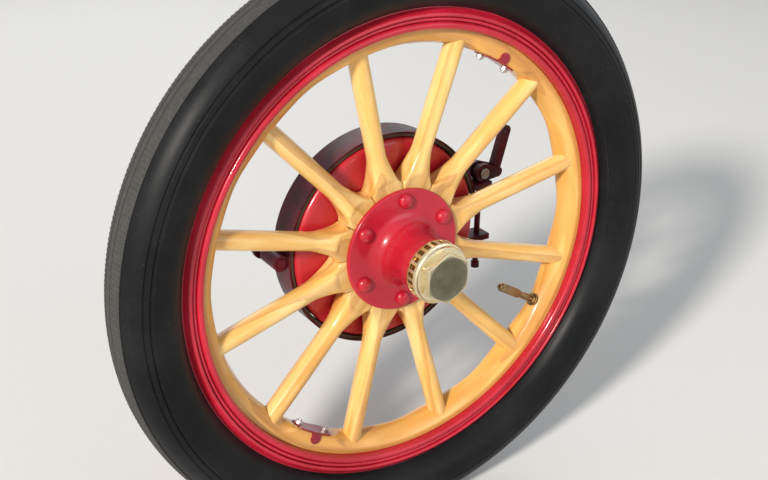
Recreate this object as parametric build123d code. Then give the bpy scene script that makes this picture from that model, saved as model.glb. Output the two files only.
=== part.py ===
from build123d import *
from math import asin, cos, radians, sin, sqrt, tan
import os

# A wooden-spoked motor car wheel with its hub, brake drum and tyre, on the outer end of its rear axle.
# Millimetres, +Z up. The axle lies along Y and the wheel's outer face looks along -Y.
# The origin is on the wheel's axis, at the axle tube's inner end. Angles are clockwise from +Z
# as seen from outside, so a point at angle a and radius r is (r sin a, y, r cos a).

over = 1.0                  # overlap of shapes that are fused or cut

# Reach and rim
axle_reach = 260.0          # axle tube's inner end to the rim's outer flange plane
rim_seat_radius = 320.0     # under the steel rim, where the felloe fits
rim_wall = 4.0
flange_height = 31.0        # rim flange tips above the felloe's seat
rim_inner_width = 40.0      # from the felloe's front face to the inner flange's root
flange_curl = 9.0           # radius of the curl at each flange's tip
flange_wall = 4.0
nose_depth = 12.3           # how far the rim's rounded front nose stands out in front of the felloe
nose_height = 10.0          # radial size of the nose
nose_round = 4.5
nose_recess = 4.0           # back of the nose, in front of the felloe's face
lock_ring_size = 6.3        # radial size
lock_ring_round = 2.6
side_ring_foot = 8.0        # axial length of the side ring's foot on the rim base
side_ring_foot_height = 2.5
side_ring_fillet = 4.5
side_ring_bead = 3.0        # radius of the bead's corners, in front of the curl
side_ring_seat_gap = 0.45   # between the side ring's back and the felloe's front plane
ring_clearance = 0.15       # between the loose rings and the rim

# Tyre
tyre_half_width = 52.0
tyre_waist_height = 41.0    # where the tyre is widest, above the flange tips
tyre_crown_height = 47.0    # tread above the waist
tyre_centre_offset = 27.0   # tyre's middle plane, inboard of the rim's outer flange plane
tyre_bead_height = 5.5      # bead toes above the rim base
tyre_bead_lead = 2.0        # slope at the bead toes
low_wall_angle = 30.0       # point on the lower sidewall, down from the waist
low_wall_bulge = 1.12
tread_edge_angle = 62.0     # where the tread band starts, up from the waist
tread_step = 1.6            # raised edge of the tread band
tread_step_lead = 1.0
bead_clearance = 0.15

# Felloe
felloe_thickness = 26.0
felloe_width = 39.0
felloe_face_offset = 9.3    # felloe's front face, inboard of the rim's outer flange plane
felloe_seat_clearance = 0.1
felloe_joint_gap = 0.3
felloe_joint_angle = 30.6   # first of the two joints, half a turn apart
felloe_edge_radial = 17.0   # front face's inner edge, above the felloe's inner radius
felloe_brow_radial = 6.5    # brow between the front bevel and the sloped inner face
felloe_brow_axial = 7.0
felloe_sole_start = 26.0    # where the sloped inner face runs out into the sole
felloe_sole_end = 33.0
felloe_back_radial = 7.0    # back bevel's outer edge, above the felloe's inner radius
scallop_shave = 2.3         # how deep the shaved chamfers cut into the bevels
scallop_half_angle = 11.0
shoulder_clearance = 0.05   # between a spoke's end and the felloe

# Spokes
spoke_count = 12
spoke_phase = 15.6
butt_thickness = 35.0
butt_joint_gap = 0.1        # between the wedge sides of neighbouring butts
throat_radius = 98.0        # bottom of the rounded throat between two spokes
throat_mid_radius = 122.0
throat_mid_half_width = 16.2
throat_end_radius = 150.0   # where the throat's curve runs out into the shaft
root_inset = 12.0           # first oval of the shaft, inside the throat's bottom
root_half_width = 37.3
root_half_depth = 27.3
root_next = 14.0            # second oval, outside the throat's bottom
root_next_half_width = 24.3
root_next_half_depth = 20.7
neck_reach = 8.0            # third oval, outside the throat's middle
neck_half_width = 17.2
neck_half_depth = 17.5
tongue_reach = 8.0          # end of the butt's flat front face, outside the throat's bottom
tongue_lift = 0.6           # how far the face's slope clears the shaft
shaft_half_width = 13.2
shaft_half_depth = 15.6
shaft_mid_radius = 210.0
shaft_mid_half_width = 12.8
shaft_mid_half_depth = 15.2
shaft_tip_half_width = 12.2
shaft_tip_half_depth = 14.6
plan_allowance = 0.1        # throat's curve outside the shaft where they run together
plan_spread = 1.0
tenon_radius = 8.0
tenon_length = 18.0
tenon_root = 6.0            # how far the tenon runs into the shaft
butt_overlap = 10.0         # flat butt's end, inside the throat's bottom
tenon_clearance = 0.1
tenon_end_room = 1.0

# Hub
hub_flange_radius = 91.7
hub_flange_thickness = 5.5
hub_flange_offset = 19.6    # flange's outer face, inboard of the rim's outer flange plane
hub_flange_edge = 2.5       # rounding of the flange's rim
hub_curve_length = 32.0     # hollow curve from the barrel out to the flange
hub_curve_rise = 26.0
barrel_radius = 38.0
barrel_core_radius = 40.0   # barrel's seat inside the spoke butts
barrel_seat_clearance = 0.15
nose_radius = 35.5          # barrel's nose inside the cap
nose_length = 14.0
nose_edge = 1.0             # small chamfer on the nose
hub_outer_reach = 51.0      # cap's rear edge, outboard of the rim's outer flange plane
barrel_inner_reach = 112.0  # barrel's inner end, inboard of the rim's outer flange plane
inner_flange_radius = 85.0
inner_flange_thickness = 6.0
inner_flange_edge = 1.0
hub_bolt_count = 6
hub_bolt_circle = 75.5
hub_bolt_phase = 0.6
hub_bolt_shank = 5.5
hub_bolt_clearance = 0.3
hub_bolt_head_radius = 11.0
hub_bolt_head_height = 9.0
hub_bolt_dome = 0.8         # dome's width where it is two thirds of its height
hub_nut_across_flats = 17.0
hub_nut_height = 8.0
hub_bolt_end = 3.0          # thread that stands out of the nut

# Hub cap
cap_base_radius = 43.8
cap_base_length = 19.0
cap_lip_length = 5.0
cap_lip_radius = 40.7
cap_slot_count = 36
cap_slot_width = 4.0
cap_slot_depth = 1.6
cap_slot_margin = 3.5       # plain band at each end of the slots
cap_hex_across_flats = 66.0
cap_hex_height = 14.0
cap_hex_chamfer = 2.0       # drop of the shallow cone at the corners
cap_hex_face_radius = 27.5
cap_edge = 1.0              # small chamfers on the base's edges
cap_lip_slope = 0.6
cap_wall = 5.0
cap_bore_inset = 8.0        # hollow behind the hexagon, inside the thread
cap_thread_clearance = 0.15

# Brake
drum_radius = 152.4
drum_wall = 4.0
drum_corner = 9.0
drum_depth = 52.0
lining_gap = 2.0            # running gap, brake off
lining_thickness = 4.5
lining_clearance = 0.05
lining_margin = 1.0         # band's edges past the lining
band_thickness = 2.5
band_width = 46.0
band_inset = 3.0            # band's front edge behind the drum's front face
band_gap_half_angle = 14.0
ear_reach = 32.0
ear_thickness = 9.0
ear_width = 30.0
lever_clearance = 0.3
lever_cam_radius = 14.0
lever_cheek = 6.0
lever_arm_thickness = 10.0
lever_arm_radius = 8.0
lever_pin_radius = 5.0
lever_pin_clearance = 0.05
lever_pin_head = 3.0        # thickness of the heads, and how far they stand out
lever_pin_play = 0.2
lever_elbow_x = 26.0        # elbow, out from the pivot
lever_elbow_z = -3.0
lever_tip_x = 43.0          # pull rod's eye, out from the pivot
lever_tip_z = 58.0
lever_eye_radius = 4.0
adjuster_reach = 19.0       # adjuster's centre line, out from the band
adjuster_radius = 4.5
adjuster_clearance = 0.3
adjuster_nut_radius = 9.0
adjuster_nut_length = 18.0
adjuster_tail = 32.0
adjuster_eye_radius = 11.0
adjuster_tip_length = 9.0
adjuster_tip_radius = 6.5
anchor_pin_radius = 7.0
anchor_reach = 9.0          # anchor pin's centre, out from the band
anchor_wall = 5.0
anchor_eye_inset = 6.0      # eye's front end, behind the band's front edge
anchor_pin_inset = 4.0
anchor_clearance = 0.1

# Axle
tube_radius = 32.0
tube_bore = 25.0
tube_seat_radius = 31.0     # turned seat at the tube's inner end
tube_seat_length = 50.0
spindle_radius = 19.0
spindle_clearance = 0.05
spindle_bore = 13.5
shaft_radius = 12.0         # drive shaft inside the tube
shaft_end_radius = 11.0
shaft_end_edge = 1.0
shaft_end_length = 30.0     # how far the shaft stands out of the tube's inner end
dog_radius = 26.0           # driving plate at the shaft's outer end
dog_thickness = 8.0
dog_clearance = 0.05
spindle_outer_reach = 40.0  # spindle's outer end, outboard of the rim's outer flange plane
shoulder_reach = 118.0      # where the tube steps down to the spindle
tube_edge = 4.0             # chamfer at the shoulder
tube_plug_length = 20.0     # solid stretch of tube behind the shoulder
carrier_reach = 124.0       # brake carrier's outer face
carrier_thickness = 8.0
carrier_hub_radius = 60.0
carrier_arm_root = 32.0     # arm's half width at the hub
carrier_arm_end = 14.0
carrier_collar = 8.0
clamp_clearance = 0.1       # between the tube and what is clamped on it
seat_gap = 5.0              # between the brake carrier's collar and the spring seat
seat_length = 56.0
seat_pad_width = 126.0
seat_pad_height = 52.0      # pad's top above the axle's centre line
seat_pad_thickness = 13.0
seat_wall = 9.0
seat_web_inset = 6.0        # how far the web stands back from the saddle's ends
seat_web_foot = 34.0        # the web's half width on the axle's centre line
u_bolt_spacing_x = 98.0
u_bolt_spacing_y = 34.0
u_bolt_hole_radius = 6.5

# Valve stem and felloe plates
valve_angle = 120.6
valve_radius = 5.0
valve_hole_clearance = 0.3
valve_length = 80.0
valve_nut_radius = 9.5
valve_nut_height = 5.6
valve_cap_radius = 6.5
valve_cap_length = 18.0
valve_tip_reach = 2.0       # cap's end past the stem
valve_nut_gap = 0.4         # between the nut and the felloe's sole
valve_end_gap = 0.3         # between the stem's end and the rim's seat
plate_thickness = 3.0
plate_clearance = 0.2       # between a plate and the felloe
plate_half_angle = 7.5
plate_tongue_radius = 8.0
plate_tongue_middle = 7.5   # centre of the tongue's round end, above the felloe's inner radius

# Places worked out from the sizes above
face_y = -axle_reach
felloe_front_y = face_y + felloe_face_offset
felloe_back_y = felloe_front_y + felloe_width
felloe_mid_y = felloe_front_y + felloe_width / 2
felloe_inner_radius = rim_seat_radius - felloe_thickness
rim_top_radius = rim_seat_radius + rim_wall
flange_radius = rim_seat_radius + flange_height
nose_top_radius = rim_seat_radius + nose_height
tyre_bead_radius = rim_top_radius + tyre_bead_height
tyre_waist_radius = flange_radius + tyre_waist_height
tyre_radius = tyre_waist_radius + tyre_crown_height
tyre_mid_y = face_y + tyre_centre_offset
flange_front_y = face_y + hub_flange_offset
butt_front_y = flange_front_y + hub_flange_thickness
butt_back_y = butt_front_y + butt_thickness
butt_mid_y = butt_front_y + butt_thickness / 2
drum_front_y = butt_back_y
drum_web_back_y = drum_front_y + drum_wall
inner_flange_back_y = drum_web_back_y + inner_flange_thickness
barrel_end_y = face_y + barrel_inner_reach
cap_rear_y = face_y - hub_outer_reach
nose_end_y = cap_rear_y - nose_length
cap_lip_y = cap_rear_y - cap_base_length
cap_step_y = cap_lip_y - cap_lip_length
cap_face_y = cap_step_y - cap_hex_height
rim_root_y = felloe_front_y + rim_inner_width
curl_centre_radius = flange_radius - flange_curl
nose_front_y = felloe_front_y - nose_depth
side_ring_back_y = felloe_front_y - side_ring_seat_gap
lock_ring_back_y = felloe_front_y - nose_recess
lining_inner_radius = drum_radius + lining_gap
band_inner_radius = lining_inner_radius + lining_thickness
band_outer_radius = band_inner_radius + band_thickness
band_front_y = drum_front_y + band_inset
band_back_y = band_front_y + band_width
band_mid_y = (band_front_y + band_back_y) / 2
carrier_front_y = face_y + carrier_reach
carrier_back_y = carrier_front_y + carrier_thickness
seat_mid_y = carrier_back_y + carrier_collar + seat_gap + seat_length / 2
shoulder_y = face_y + shoulder_reach
spoke_pitch = 360 / spoke_count
bolt_hole_radius = hub_bolt_shank + hub_bolt_clearance
adjuster_x = band_outer_radius + adjuster_reach
ear_top_z = band_inner_radius * sin(radians(band_gap_half_angle))
pivot_z = ear_top_z + ear_thickness + lever_clearance + lever_cam_radius


# Revolve a closed (y, r) outline about the Y axis. A step of four numbers is an arc through a point.
def turned(start, *steps):
    edges = []
    here = Vector(0, *start)
    for step in steps + (start,):
        there = Vector(0, *step[-2:])
        if len(step) == 4:
            edges.append(ThreePointArc(here, Vector(0, *step[:2]), there))
        elif (there - here).length > 1e-6:
            edges.append(Line(here, there))
        here = there
    return revolve(make_face(Curve() + edges), Axis.Y, 360)


# A quarter round from one (y, r) corner point to the next, with its middle on the 45 degree line.
def round_corner(y_centre, r_centre, radius, y_side, r_side):
    reach = radius / sqrt(2)
    return y_centre + y_side * reach, r_centre + r_side * reach


# A round bar along Y.
def rod(radius, y_from, y_to, x=0, z=0):
    circle = Plane((x, y_from, z), x_dir=(1, 0, 0), z_dir=(0, 1, 0)) * Circle(radius)
    return extrude(circle, y_to - y_from)


# A round bar along Z.
def post(radius, z_from, z_to, x=0, y=0):
    return Pos(x, y, (z_from + z_to) / 2) * Cylinder(radius, z_to - z_from)


# A flat plate between two Y values, from an (x, z) outline.
def plate(points, y_from, y_to):
    face = make_face(Polyline(*[(x, y_from, z) for x, z in points], close=True))
    return extrude(face, y_to - y_from, dir=(0, 1, 0))


# A bar with round ends between two (x, z) points, as thick as two Y values.
def link(start, end, radius_start, radius_end, y_from, y_to):
    run = Vector(end[0] - start[0], 0, end[1] - start[1])
    side = Vector(-run.Z, 0, run.X).normalized()
    corners = []
    for (x, z), radius, way in ((start, radius_start, 1), (end, radius_end, 1),
                                (end, radius_end, -1), (start, radius_start, -1)):
        corners.append((x + way * radius * side.X, z + way * radius * side.Z))
    bar = plate(corners, y_from, y_to)
    return bar + rod(radius_start, y_from, y_to, *start) + rod(radius_end, y_from, y_to, *end)


# A wide slab across X, from a (y, z) outline.
def side_slab(points):
    face = make_face(Polyline(*[(0, y, z) for y, z in points], close=True))
    return extrude(face, 2 * throat_radius, dir=(1, 0, 0), both=True)


# Turn a shape clockwise about the Y axis, as seen from outside.
def spun(shape, angle):
    return shape.rotate(Axis.Y, angle)


# The hub bolts' centres, as (x, z).
def hub_bolt_places():
    places = []
    for i in range(hub_bolt_count):
        angle = radians(hub_bolt_phase + i * 360 / hub_bolt_count)
        places.append((hub_bolt_circle * sin(angle), hub_bolt_circle * cos(angle)))
    return places


# Cut the hub bolts' clearance holes.
def drilled(shape, y_from, y_to):
    for x, z in hub_bolt_places():
        shape = shape - rod(bolt_hole_radius, y_from - over, y_to + over, x, z)
    return shape


# Steel rim: base, inner flange with a curled tip, and a rounded nose in front of the felloe.
def make_rim():
    root = rim_root_y
    inner = root + ring_clearance
    outer = inner + flange_wall
    curl_y = inner + flange_curl
    small = flange_curl - flange_wall
    nose_y = nose_front_y + nose_round
    return turned(
        (root, rim_seat_radius),
        (*round_corner(root, rim_seat_radius + flange_wall, flange_wall, 1, -1),
         outer, rim_seat_radius + flange_wall),
        (outer, curl_centre_radius),
        (*round_corner(curl_y, curl_centre_radius, small, -1, 1), curl_y, curl_centre_radius + small),
        (curl_y + flange_wall / 2, flange_radius - flange_wall / 2, curl_y, flange_radius),
        (*round_corner(curl_y, curl_centre_radius, flange_curl, -1, 1), inner, curl_centre_radius),
        (inner, rim_top_radius),
        (lock_ring_back_y, rim_top_radius),
        (lock_ring_back_y, nose_top_radius),
        (nose_y, nose_top_radius),
        (*round_corner(nose_y, nose_top_radius - nose_round, nose_round, -1, 1),
         nose_front_y, nose_top_radius - nose_round),
        (nose_front_y, rim_seat_radius + nose_round),
        (*round_corner(nose_y, rim_seat_radius + nose_round, nose_round, -1, -1), nose_y, rim_seat_radius),
    )


# Detachable side ring: a foot on the rim base, the outer flange and its rounded bead.
def make_side_ring():
    back = side_ring_back_y
    toe_y = lock_ring_back_y + ring_clearance
    foot_radius = rim_top_radius + ring_clearance
    foot_top = foot_radius + side_ring_foot_height
    foot_y = felloe_front_y + side_ring_foot
    curl_y = back - flange_curl
    bead = side_ring_bead
    low_bead = nose_top_radius + lock_ring_size + 2 * ring_clearance + bead
    fillet = side_ring_fillet
    return turned(
        (toe_y, foot_radius),
        (foot_y, foot_radius),
        (foot_y, foot_top),
        (back + fillet, foot_top),
        (*round_corner(back + fillet, foot_top + fillet, fillet, -1, -1), back, foot_top + fillet),
        (back, curl_centre_radius),
        (*round_corner(curl_y, curl_centre_radius, flange_curl, 1, 1), curl_y, flange_radius),
        (*round_corner(curl_y, flange_radius - bead, bead, -1, 1), curl_y - bead, flange_radius - bead),
        (curl_y - bead, low_bead),
        (*round_corner(curl_y, low_bead, bead, -1, -1), curl_y, low_bead - bead),
        (toe_y, low_bead - bead),
    )


# Split lock ring that holds the side ring on, seated over the rim's nose.
def make_lock_ring():
    low = nose_top_radius + ring_clearance
    high = low + lock_ring_size
    edge = lock_ring_round
    y = nose_front_y + edge
    return turned(
        (lock_ring_back_y, low),
        (lock_ring_back_y, high),
        (y, high),
        (*round_corner(y, high - edge, edge, -1, 1), nose_front_y, high - edge),
        (nose_front_y, low + edge),
        (*round_corner(y, low + edge, edge, -1, -1), y, low),
    )


# Tyre: beads between the two flanges, round sidewalls and a tread band with a raised edge.
def make_tyre():
    front = side_ring_back_y + bead_clearance
    back = rim_root_y + ring_clearance - bead_clearance
    curl = flange_curl + bead_clearance
    curl_top = flange_radius + bead_clearance
    front_curl_y = side_ring_back_y - flange_curl
    back_curl_y = rim_root_y + ring_clearance + flange_curl
    half_height = tyre_radius - tread_step - tyre_waist_radius
    turn = radians(tread_edge_angle)
    edge_y = tyre_half_width * cos(turn)
    edge_r = tyre_waist_radius + half_height * sin(turn)
    low_y = tyre_half_width * cos(radians(low_wall_angle))
    low_r = tyre_waist_radius - tyre_waist_height * sin(radians(low_wall_angle)) * low_wall_bulge
    mid_y = tyre_half_width * cos(turn / 2)
    mid_r = tyre_waist_radius + half_height * sin(turn / 2)
    m = tyre_mid_y
    lead = tread_step_lead
    toe = tyre_bead_lead
    return turned(
        (front + toe, tyre_bead_radius),
        (back - toe, tyre_bead_radius),
        (back, tyre_bead_radius + toe),
        (back, curl_centre_radius),
        (*round_corner(back_curl_y, curl_centre_radius, curl, -1, 1), back_curl_y, curl_top),
        (m + low_y, low_r, m + tyre_half_width, tyre_waist_radius),
        (m + mid_y, mid_r, m + edge_y, edge_r),
        (m + edge_y - lead, edge_r + tread_step),
        (m, tyre_radius, m - edge_y + lead, edge_r + tread_step),
        (m - edge_y, edge_r),
        (m - mid_y, mid_r, m - tyre_half_width, tyre_waist_radius),
        (m - low_y, low_r, front_curl_y, curl_top),
        (*round_corner(front_curl_y, curl_centre_radius, curl, 1, 1), front, curl_centre_radius),
        (front, tyre_bead_radius + 2 * toe),
    )


# The felloe's section as (y, r) points, from its outer front edge round the inner side to its outer
# back edge, moved off the wood by a gap.
def felloe_profile(gap=0.0):
    front, low = felloe_front_y, felloe_inner_radius
    outer = rim_seat_radius - felloe_seat_clearance
    points = [
        (front, outer),
        (front, low + felloe_edge_radial),
        (front + felloe_brow_axial, low + felloe_brow_radial),
        (front + felloe_sole_start, low),
        (front + felloe_sole_end, low),
        (felloe_back_y, low + felloe_back_radial),
        (felloe_back_y, outer),
    ]
    normals = []
    for (y0, r0), (y1, r1) in zip(points, points[1:]):
        length = sqrt((y1 - y0) ** 2 + (r1 - r0) ** 2)
        normals.append(((r1 - r0) / length, (y0 - y1) / length))
    normals = [normals[0]] + normals + [normals[-1]]
    moved = []
    for (y, r), (a, b), (c, d) in zip(points, normals, normals[1:]):
        share = gap / (1 + a * c + b * d)
        moved.append((y + (a + c) * share, r + (b + d) * share))
    return moved


# Round cutter for one shaved chamfer in the middle of a gap, at +Z, on the front or back inner edge.
# It cuts a little deeper than the plain bevel, which stands so far in from the square corner.
def scallop(edge_y, way, bevel):
    depth = bevel + scallop_shave
    half_chord = felloe_inner_radius * sin(radians(scallop_half_angle))
    rise = felloe_inner_radius * (1 - cos(radians(scallop_half_angle))) / sqrt(2)
    sag = scallop_shave + rise
    radius = (half_chord ** 2 + sag ** 2) / (2 * sag)
    reach = (radius - depth) / sqrt(2)
    centre = (0, edge_y + way * reach, felloe_inner_radius - reach)
    tool = Plane(centre, x_dir=(1, 0, 0), z_dir=(0, way, 1))
    return tool * Cylinder(radius, 2 * felloe_width)


# Half of the bent wooden felloe, with its tenon holes and the chamfers between the spokes.
def make_felloe_half(valve_hole):
    low = felloe_inner_radius
    half = turned(*felloe_profile())
    size = 3 * rim_seat_radius
    side = spun(Pos(size / 2 + felloe_joint_gap / 2, 0, 0) * Box(size, size * 2, size), felloe_joint_angle)
    half = half & side
    spokes_a_half = spoke_count // 2
    bore = post(tenon_radius + tenon_clearance, low / 2, low + tenon_length + tenon_end_room, 0, felloe_mid_y)
    for i in range(spokes_a_half):
        half = half - spun(bore, felloe_joint_angle + spoke_pitch * (i + 0.5))
    front_bevel = (felloe_brow_radial + felloe_brow_axial) / sqrt(2)
    shave = scallop(felloe_front_y, -1, front_bevel) + scallop(felloe_back_y, 1, felloe_back_radial / sqrt(2))
    for i in range(1, spokes_a_half):
        half = half - spun(shave, felloe_joint_angle + spoke_pitch * i)
    if valve_hole:
        hole = post(valve_radius + valve_hole_clearance, low / 2, 2 * rim_seat_radius, 0, felloe_mid_y)
        half = half - spun(hole, valve_angle)
    return half


# Steel plate under one felloe joint, with a rounded tongue turned up over the front bevel.
def make_felloe_plate():
    near = felloe_profile(plate_clearance)[1:]
    far = felloe_profile(plate_clearance + plate_thickness)[1:]
    skin = turned(*near[:4], *far[3::-1])
    reach = rim_seat_radius * tan(radians(plate_half_angle))
    wedge = plate([(0, 0), (reach, rim_seat_radius), (-reach, rim_seat_radius)], near[1][0], felloe_back_y)
    half = plate_tongue_radius
    middle = felloe_inner_radius + plate_tongue_middle
    stem = [(-half, middle / 2), (half, middle / 2), (half, middle), (-half, middle)]
    tongue = rod(half, 2 * face_y, felloe_mid_y, 0, middle) + plate(stem, 2 * face_y, felloe_mid_y)
    return (skin & wedge) + (skin & tongue)


# One spoke along +Z: a flat wedge butt, rounded throats and an oval shaft that leans out to the felloe.
def make_spoke():
    half_pitch = radians(spoke_pitch / 2)
    gap = butt_joint_gap / 2 / cos(half_pitch)
    inner_z = barrel_core_radius * cos(half_pitch) - over
    inner_x = inner_z * tan(half_pitch) - gap
    throat_z = throat_radius * cos(half_pitch)
    end_z = felloe_inner_radius + felloe_edge_radial
    lean = (felloe_mid_y - butt_mid_y) / (felloe_inner_radius - throat_radius)
    # columns: radius, half width in the wheel's plane, half depth along the axle
    stations = [
        (throat_radius - root_inset, root_half_width, root_half_depth),
        (throat_radius + root_next, root_next_half_width, root_next_half_depth),
        (throat_mid_radius + neck_reach, neck_half_width, neck_half_depth),
        (throat_end_radius, shaft_half_width, shaft_half_depth),
        (shaft_mid_radius, shaft_mid_half_width, shaft_mid_half_depth),
        (end_z, shaft_tip_half_width, shaft_tip_half_depth),
    ]
    ovals = []
    for radius, half_width, half_depth in stations:
        middle = butt_mid_y + lean * max(radius - throat_radius, 0)
        ovals.append(Pos(0, middle, radius) * Ellipse(half_width, half_depth))
    shaft = loft(ovals, ruled=True)
    # the plan outline, seen along the axle
    root_x = throat_z * tan(half_pitch) - gap
    neck_x = shaft_half_width + plan_allowance
    end_x = shaft_half_width + plan_spread
    plan_edges = [
        Line((inner_x, 0, inner_z), (root_x, 0, throat_z)),
        ThreePointArc((root_x, 0, throat_z), (throat_mid_half_width, 0, throat_mid_radius),
                      (neck_x, 0, throat_end_radius)),
        Line((neck_x, 0, throat_end_radius), (end_x, 0, end_z + over)),
    ]
    mirrored = [edge.mirror(Plane.YZ) for edge in plan_edges]
    ends = [Line((x, 0, z), (-x, 0, z)) for x, z in ((end_x, end_z + over), (inner_x, inner_z))]
    outline = make_face(Curve() + plan_edges + mirrored + ends)
    plan = extrude(outline, 2 * axle_reach, dir=(0, 1, 0), both=True)
    # the side outline, seen along X: flat butt faces, and room for the lean beyond the throat
    front_y = butt_mid_y - shaft_half_depth - tongue_lift
    slab = side_slab([
        (butt_front_y, inner_z), (butt_back_y, inner_z), (butt_back_y, end_z + over),
        (front_y + lean * (end_z - throat_radius), end_z + over),
        (front_y + lean * (throat_end_radius - throat_radius), throat_end_radius),
        (butt_front_y, throat_radius + tongue_reach),
    ])
    butt_end_z = throat_radius - butt_overlap
    butt = plan & side_slab([
        (butt_front_y, inner_z), (butt_back_y, inner_z),
        (butt_back_y, butt_end_z), (butt_front_y, butt_end_z),
    ])
    body = (shaft & plan & slab) + butt
    body = body - rod(barrel_core_radius + barrel_seat_clearance, butt_front_y - over, butt_back_y + over)
    body = body - turned(*felloe_profile(shoulder_clearance))
    foot_z = felloe_inner_radius - tenon_root
    tenon = post(tenon_radius, foot_z, felloe_inner_radius + tenon_length, 0, felloe_mid_y)
    return body + tenon


# Hub: barrel, outer flange and the hollow curve between them, bored for the spindle.
def make_hub():
    bore = spindle_radius + spindle_clearance
    edge = hub_flange_edge
    length, rise = hub_curve_length, hub_curve_rise
    curve_radius = (length ** 2 + rise ** 2) / (2 * rise)
    half_turn = asin(length / curve_radius) / 2
    curve_y = flange_front_y - length
    hub = turned(
        (nose_end_y, bore),
        (nose_end_y, nose_radius - nose_edge),
        (nose_end_y + nose_edge, nose_radius),
        (cap_rear_y, nose_radius),
        (cap_rear_y, barrel_radius),
        (curve_y, barrel_radius),
        (curve_y + curve_radius * sin(half_turn), barrel_radius + curve_radius * (1 - cos(half_turn)),
         flange_front_y, barrel_radius + rise),
        (flange_front_y, hub_flange_radius - edge),
        (*round_corner(flange_front_y + edge, hub_flange_radius - edge, edge, -1, 1),
         flange_front_y + edge, hub_flange_radius),
        (butt_front_y, hub_flange_radius),
        (butt_front_y, barrel_core_radius),
        (barrel_end_y, barrel_core_radius),
        (barrel_end_y, bore),
    )
    return drilled(hub, flange_front_y, butt_front_y)


# Clamp ring behind the drum's web.
def make_inner_flange():
    bore = barrel_core_radius + barrel_seat_clearance
    ring = turned(
        (drum_web_back_y, bore), (drum_web_back_y, inner_flange_radius),
        (inner_flange_back_y - inner_flange_edge, inner_flange_radius),
        (inner_flange_back_y, inner_flange_radius - inner_flange_edge),
        (inner_flange_back_y, bore),
    )
    return drilled(ring, drum_web_back_y, inner_flange_back_y)


# Through bolts with round heads outside and hexagon nuts inside, one solid each.
def make_hub_bolts():
    top_y = flange_front_y - hub_bolt_head_height
    end_y = inner_flange_back_y + hub_nut_height
    bolt = turned(
        (top_y, 0),
        (flange_front_y - hub_bolt_head_height * 2 / 3, hub_bolt_head_radius * hub_bolt_dome,
         flange_front_y, hub_bolt_head_radius),
        (flange_front_y, hub_bolt_shank),
        (end_y + hub_bolt_end, hub_bolt_shank),
        (end_y + hub_bolt_end, 0),
    )
    corner = hub_nut_across_flats / 2 / cos(radians(30))
    start = Plane((0, inner_flange_back_y, 0), x_dir=(1, 0, 0), z_dir=(0, 1, 0))
    bolt = bolt + extrude(start * RegularPolygon(corner, 6), hub_nut_height)
    return Compound(children=[Pos(x, 0, z) * bolt for x, z in hub_bolt_places()])


# Screwed cap: hollow base with milled slots, a lip, and a chamfered hexagon.
def make_hub_cap():
    thread = nose_radius + cap_thread_clearance
    inside = nose_radius - cap_bore_inset
    edge = cap_edge
    cap = turned(
        (cap_rear_y, thread),
        (cap_rear_y, cap_base_radius - edge),
        (cap_rear_y - edge, cap_base_radius),
        (cap_lip_y + edge, cap_base_radius),
        (cap_lip_y, cap_base_radius - edge),
        (cap_lip_y, cap_lip_radius + cap_lip_slope),
        (cap_step_y, cap_lip_radius),
        (cap_step_y, 0),
        (cap_face_y + cap_wall, 0),
        (cap_face_y + cap_wall, inside),
        (nose_end_y - over, inside),
        (nose_end_y - over, thread),
    )
    corner = cap_hex_across_flats / 2 / cos(radians(30))
    start = Plane((0, cap_step_y + over, 0), x_dir=(0, 0, 1), z_dir=(0, -1, 0))
    hexagon = extrude(start * RegularPolygon(corner, 6), cap_hex_height + over)
    cone = turned(
        (cap_step_y + over, 0), (cap_step_y + over, corner + over),
        (cap_face_y + cap_hex_chamfer, corner + over),
        (cap_face_y, cap_hex_face_radius), (cap_face_y, 0),
    )
    hollow = rod(inside, cap_face_y + cap_wall, cap_step_y + 2 * over)
    cap = cap + ((hexagon & cone) - hollow)
    slot_from = cap_lip_y + cap_slot_margin
    slot_to = cap_rear_y - cap_slot_margin
    slot = Pos(0, (slot_from + slot_to) / 2, cap_base_radius) * Box(
        cap_slot_width, slot_to - slot_from, 2 * cap_slot_depth)
    for i in range(cap_slot_count):
        cap = cap - spun(slot, i * 360 / cap_slot_count)
    return cap


# Pressed brake drum: web clamped by the hub bolts, rounded corner and the friction band.
def make_drum():
    bore = barrel_core_radius + barrel_seat_clearance
    end_y = drum_front_y + drum_depth
    inner = drum_radius - drum_wall
    corner_y = drum_front_y + drum_corner
    corner_r = drum_radius - drum_corner
    inner_corner = drum_corner - drum_wall
    drum = turned(
        (drum_front_y, bore),
        (drum_front_y, corner_r),
        (*round_corner(corner_y, corner_r, drum_corner, -1, 1), corner_y, drum_radius),
        (end_y, drum_radius),
        (end_y, inner),
        (corner_y, inner),
        (*round_corner(corner_y, corner_r, inner_corner, -1, 1), drum_web_back_y, corner_r),
        (drum_web_back_y, bore),
    )
    return drilled(drum, drum_front_y, drum_web_back_y)


# Long valve stem through the felloe, with its nut and dust cap.
def make_valve_stem():
    nut_top = felloe_inner_radius - valve_nut_gap
    tip = felloe_inner_radius - valve_length
    stem = post(valve_radius, tip + valve_tip_reach, rim_seat_radius - valve_end_gap, 0, felloe_mid_y)
    nut = Pos(0, felloe_mid_y, nut_top - valve_nut_height) * extrude(
        RegularPolygon(valve_nut_radius, 6), valve_nut_height)
    cap = post(valve_cap_radius, tip, tip + valve_cap_length, 0, felloe_mid_y)
    return spun(stem + nut + cap, valve_angle)


# A ring sector that is open at +X, for the brake band and its lining.
def open_ring(inner, outer, y_from, y_to):
    ring = rod(outer, y_from, y_to) - rod(inner, y_from - over, y_to + over)
    rise = tan(radians(band_gap_half_angle))
    far = 2 * outer
    return ring - plate([(0, 0), (far, far * rise), (far, -far * rise)], y_from - over, y_to + over)


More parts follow.
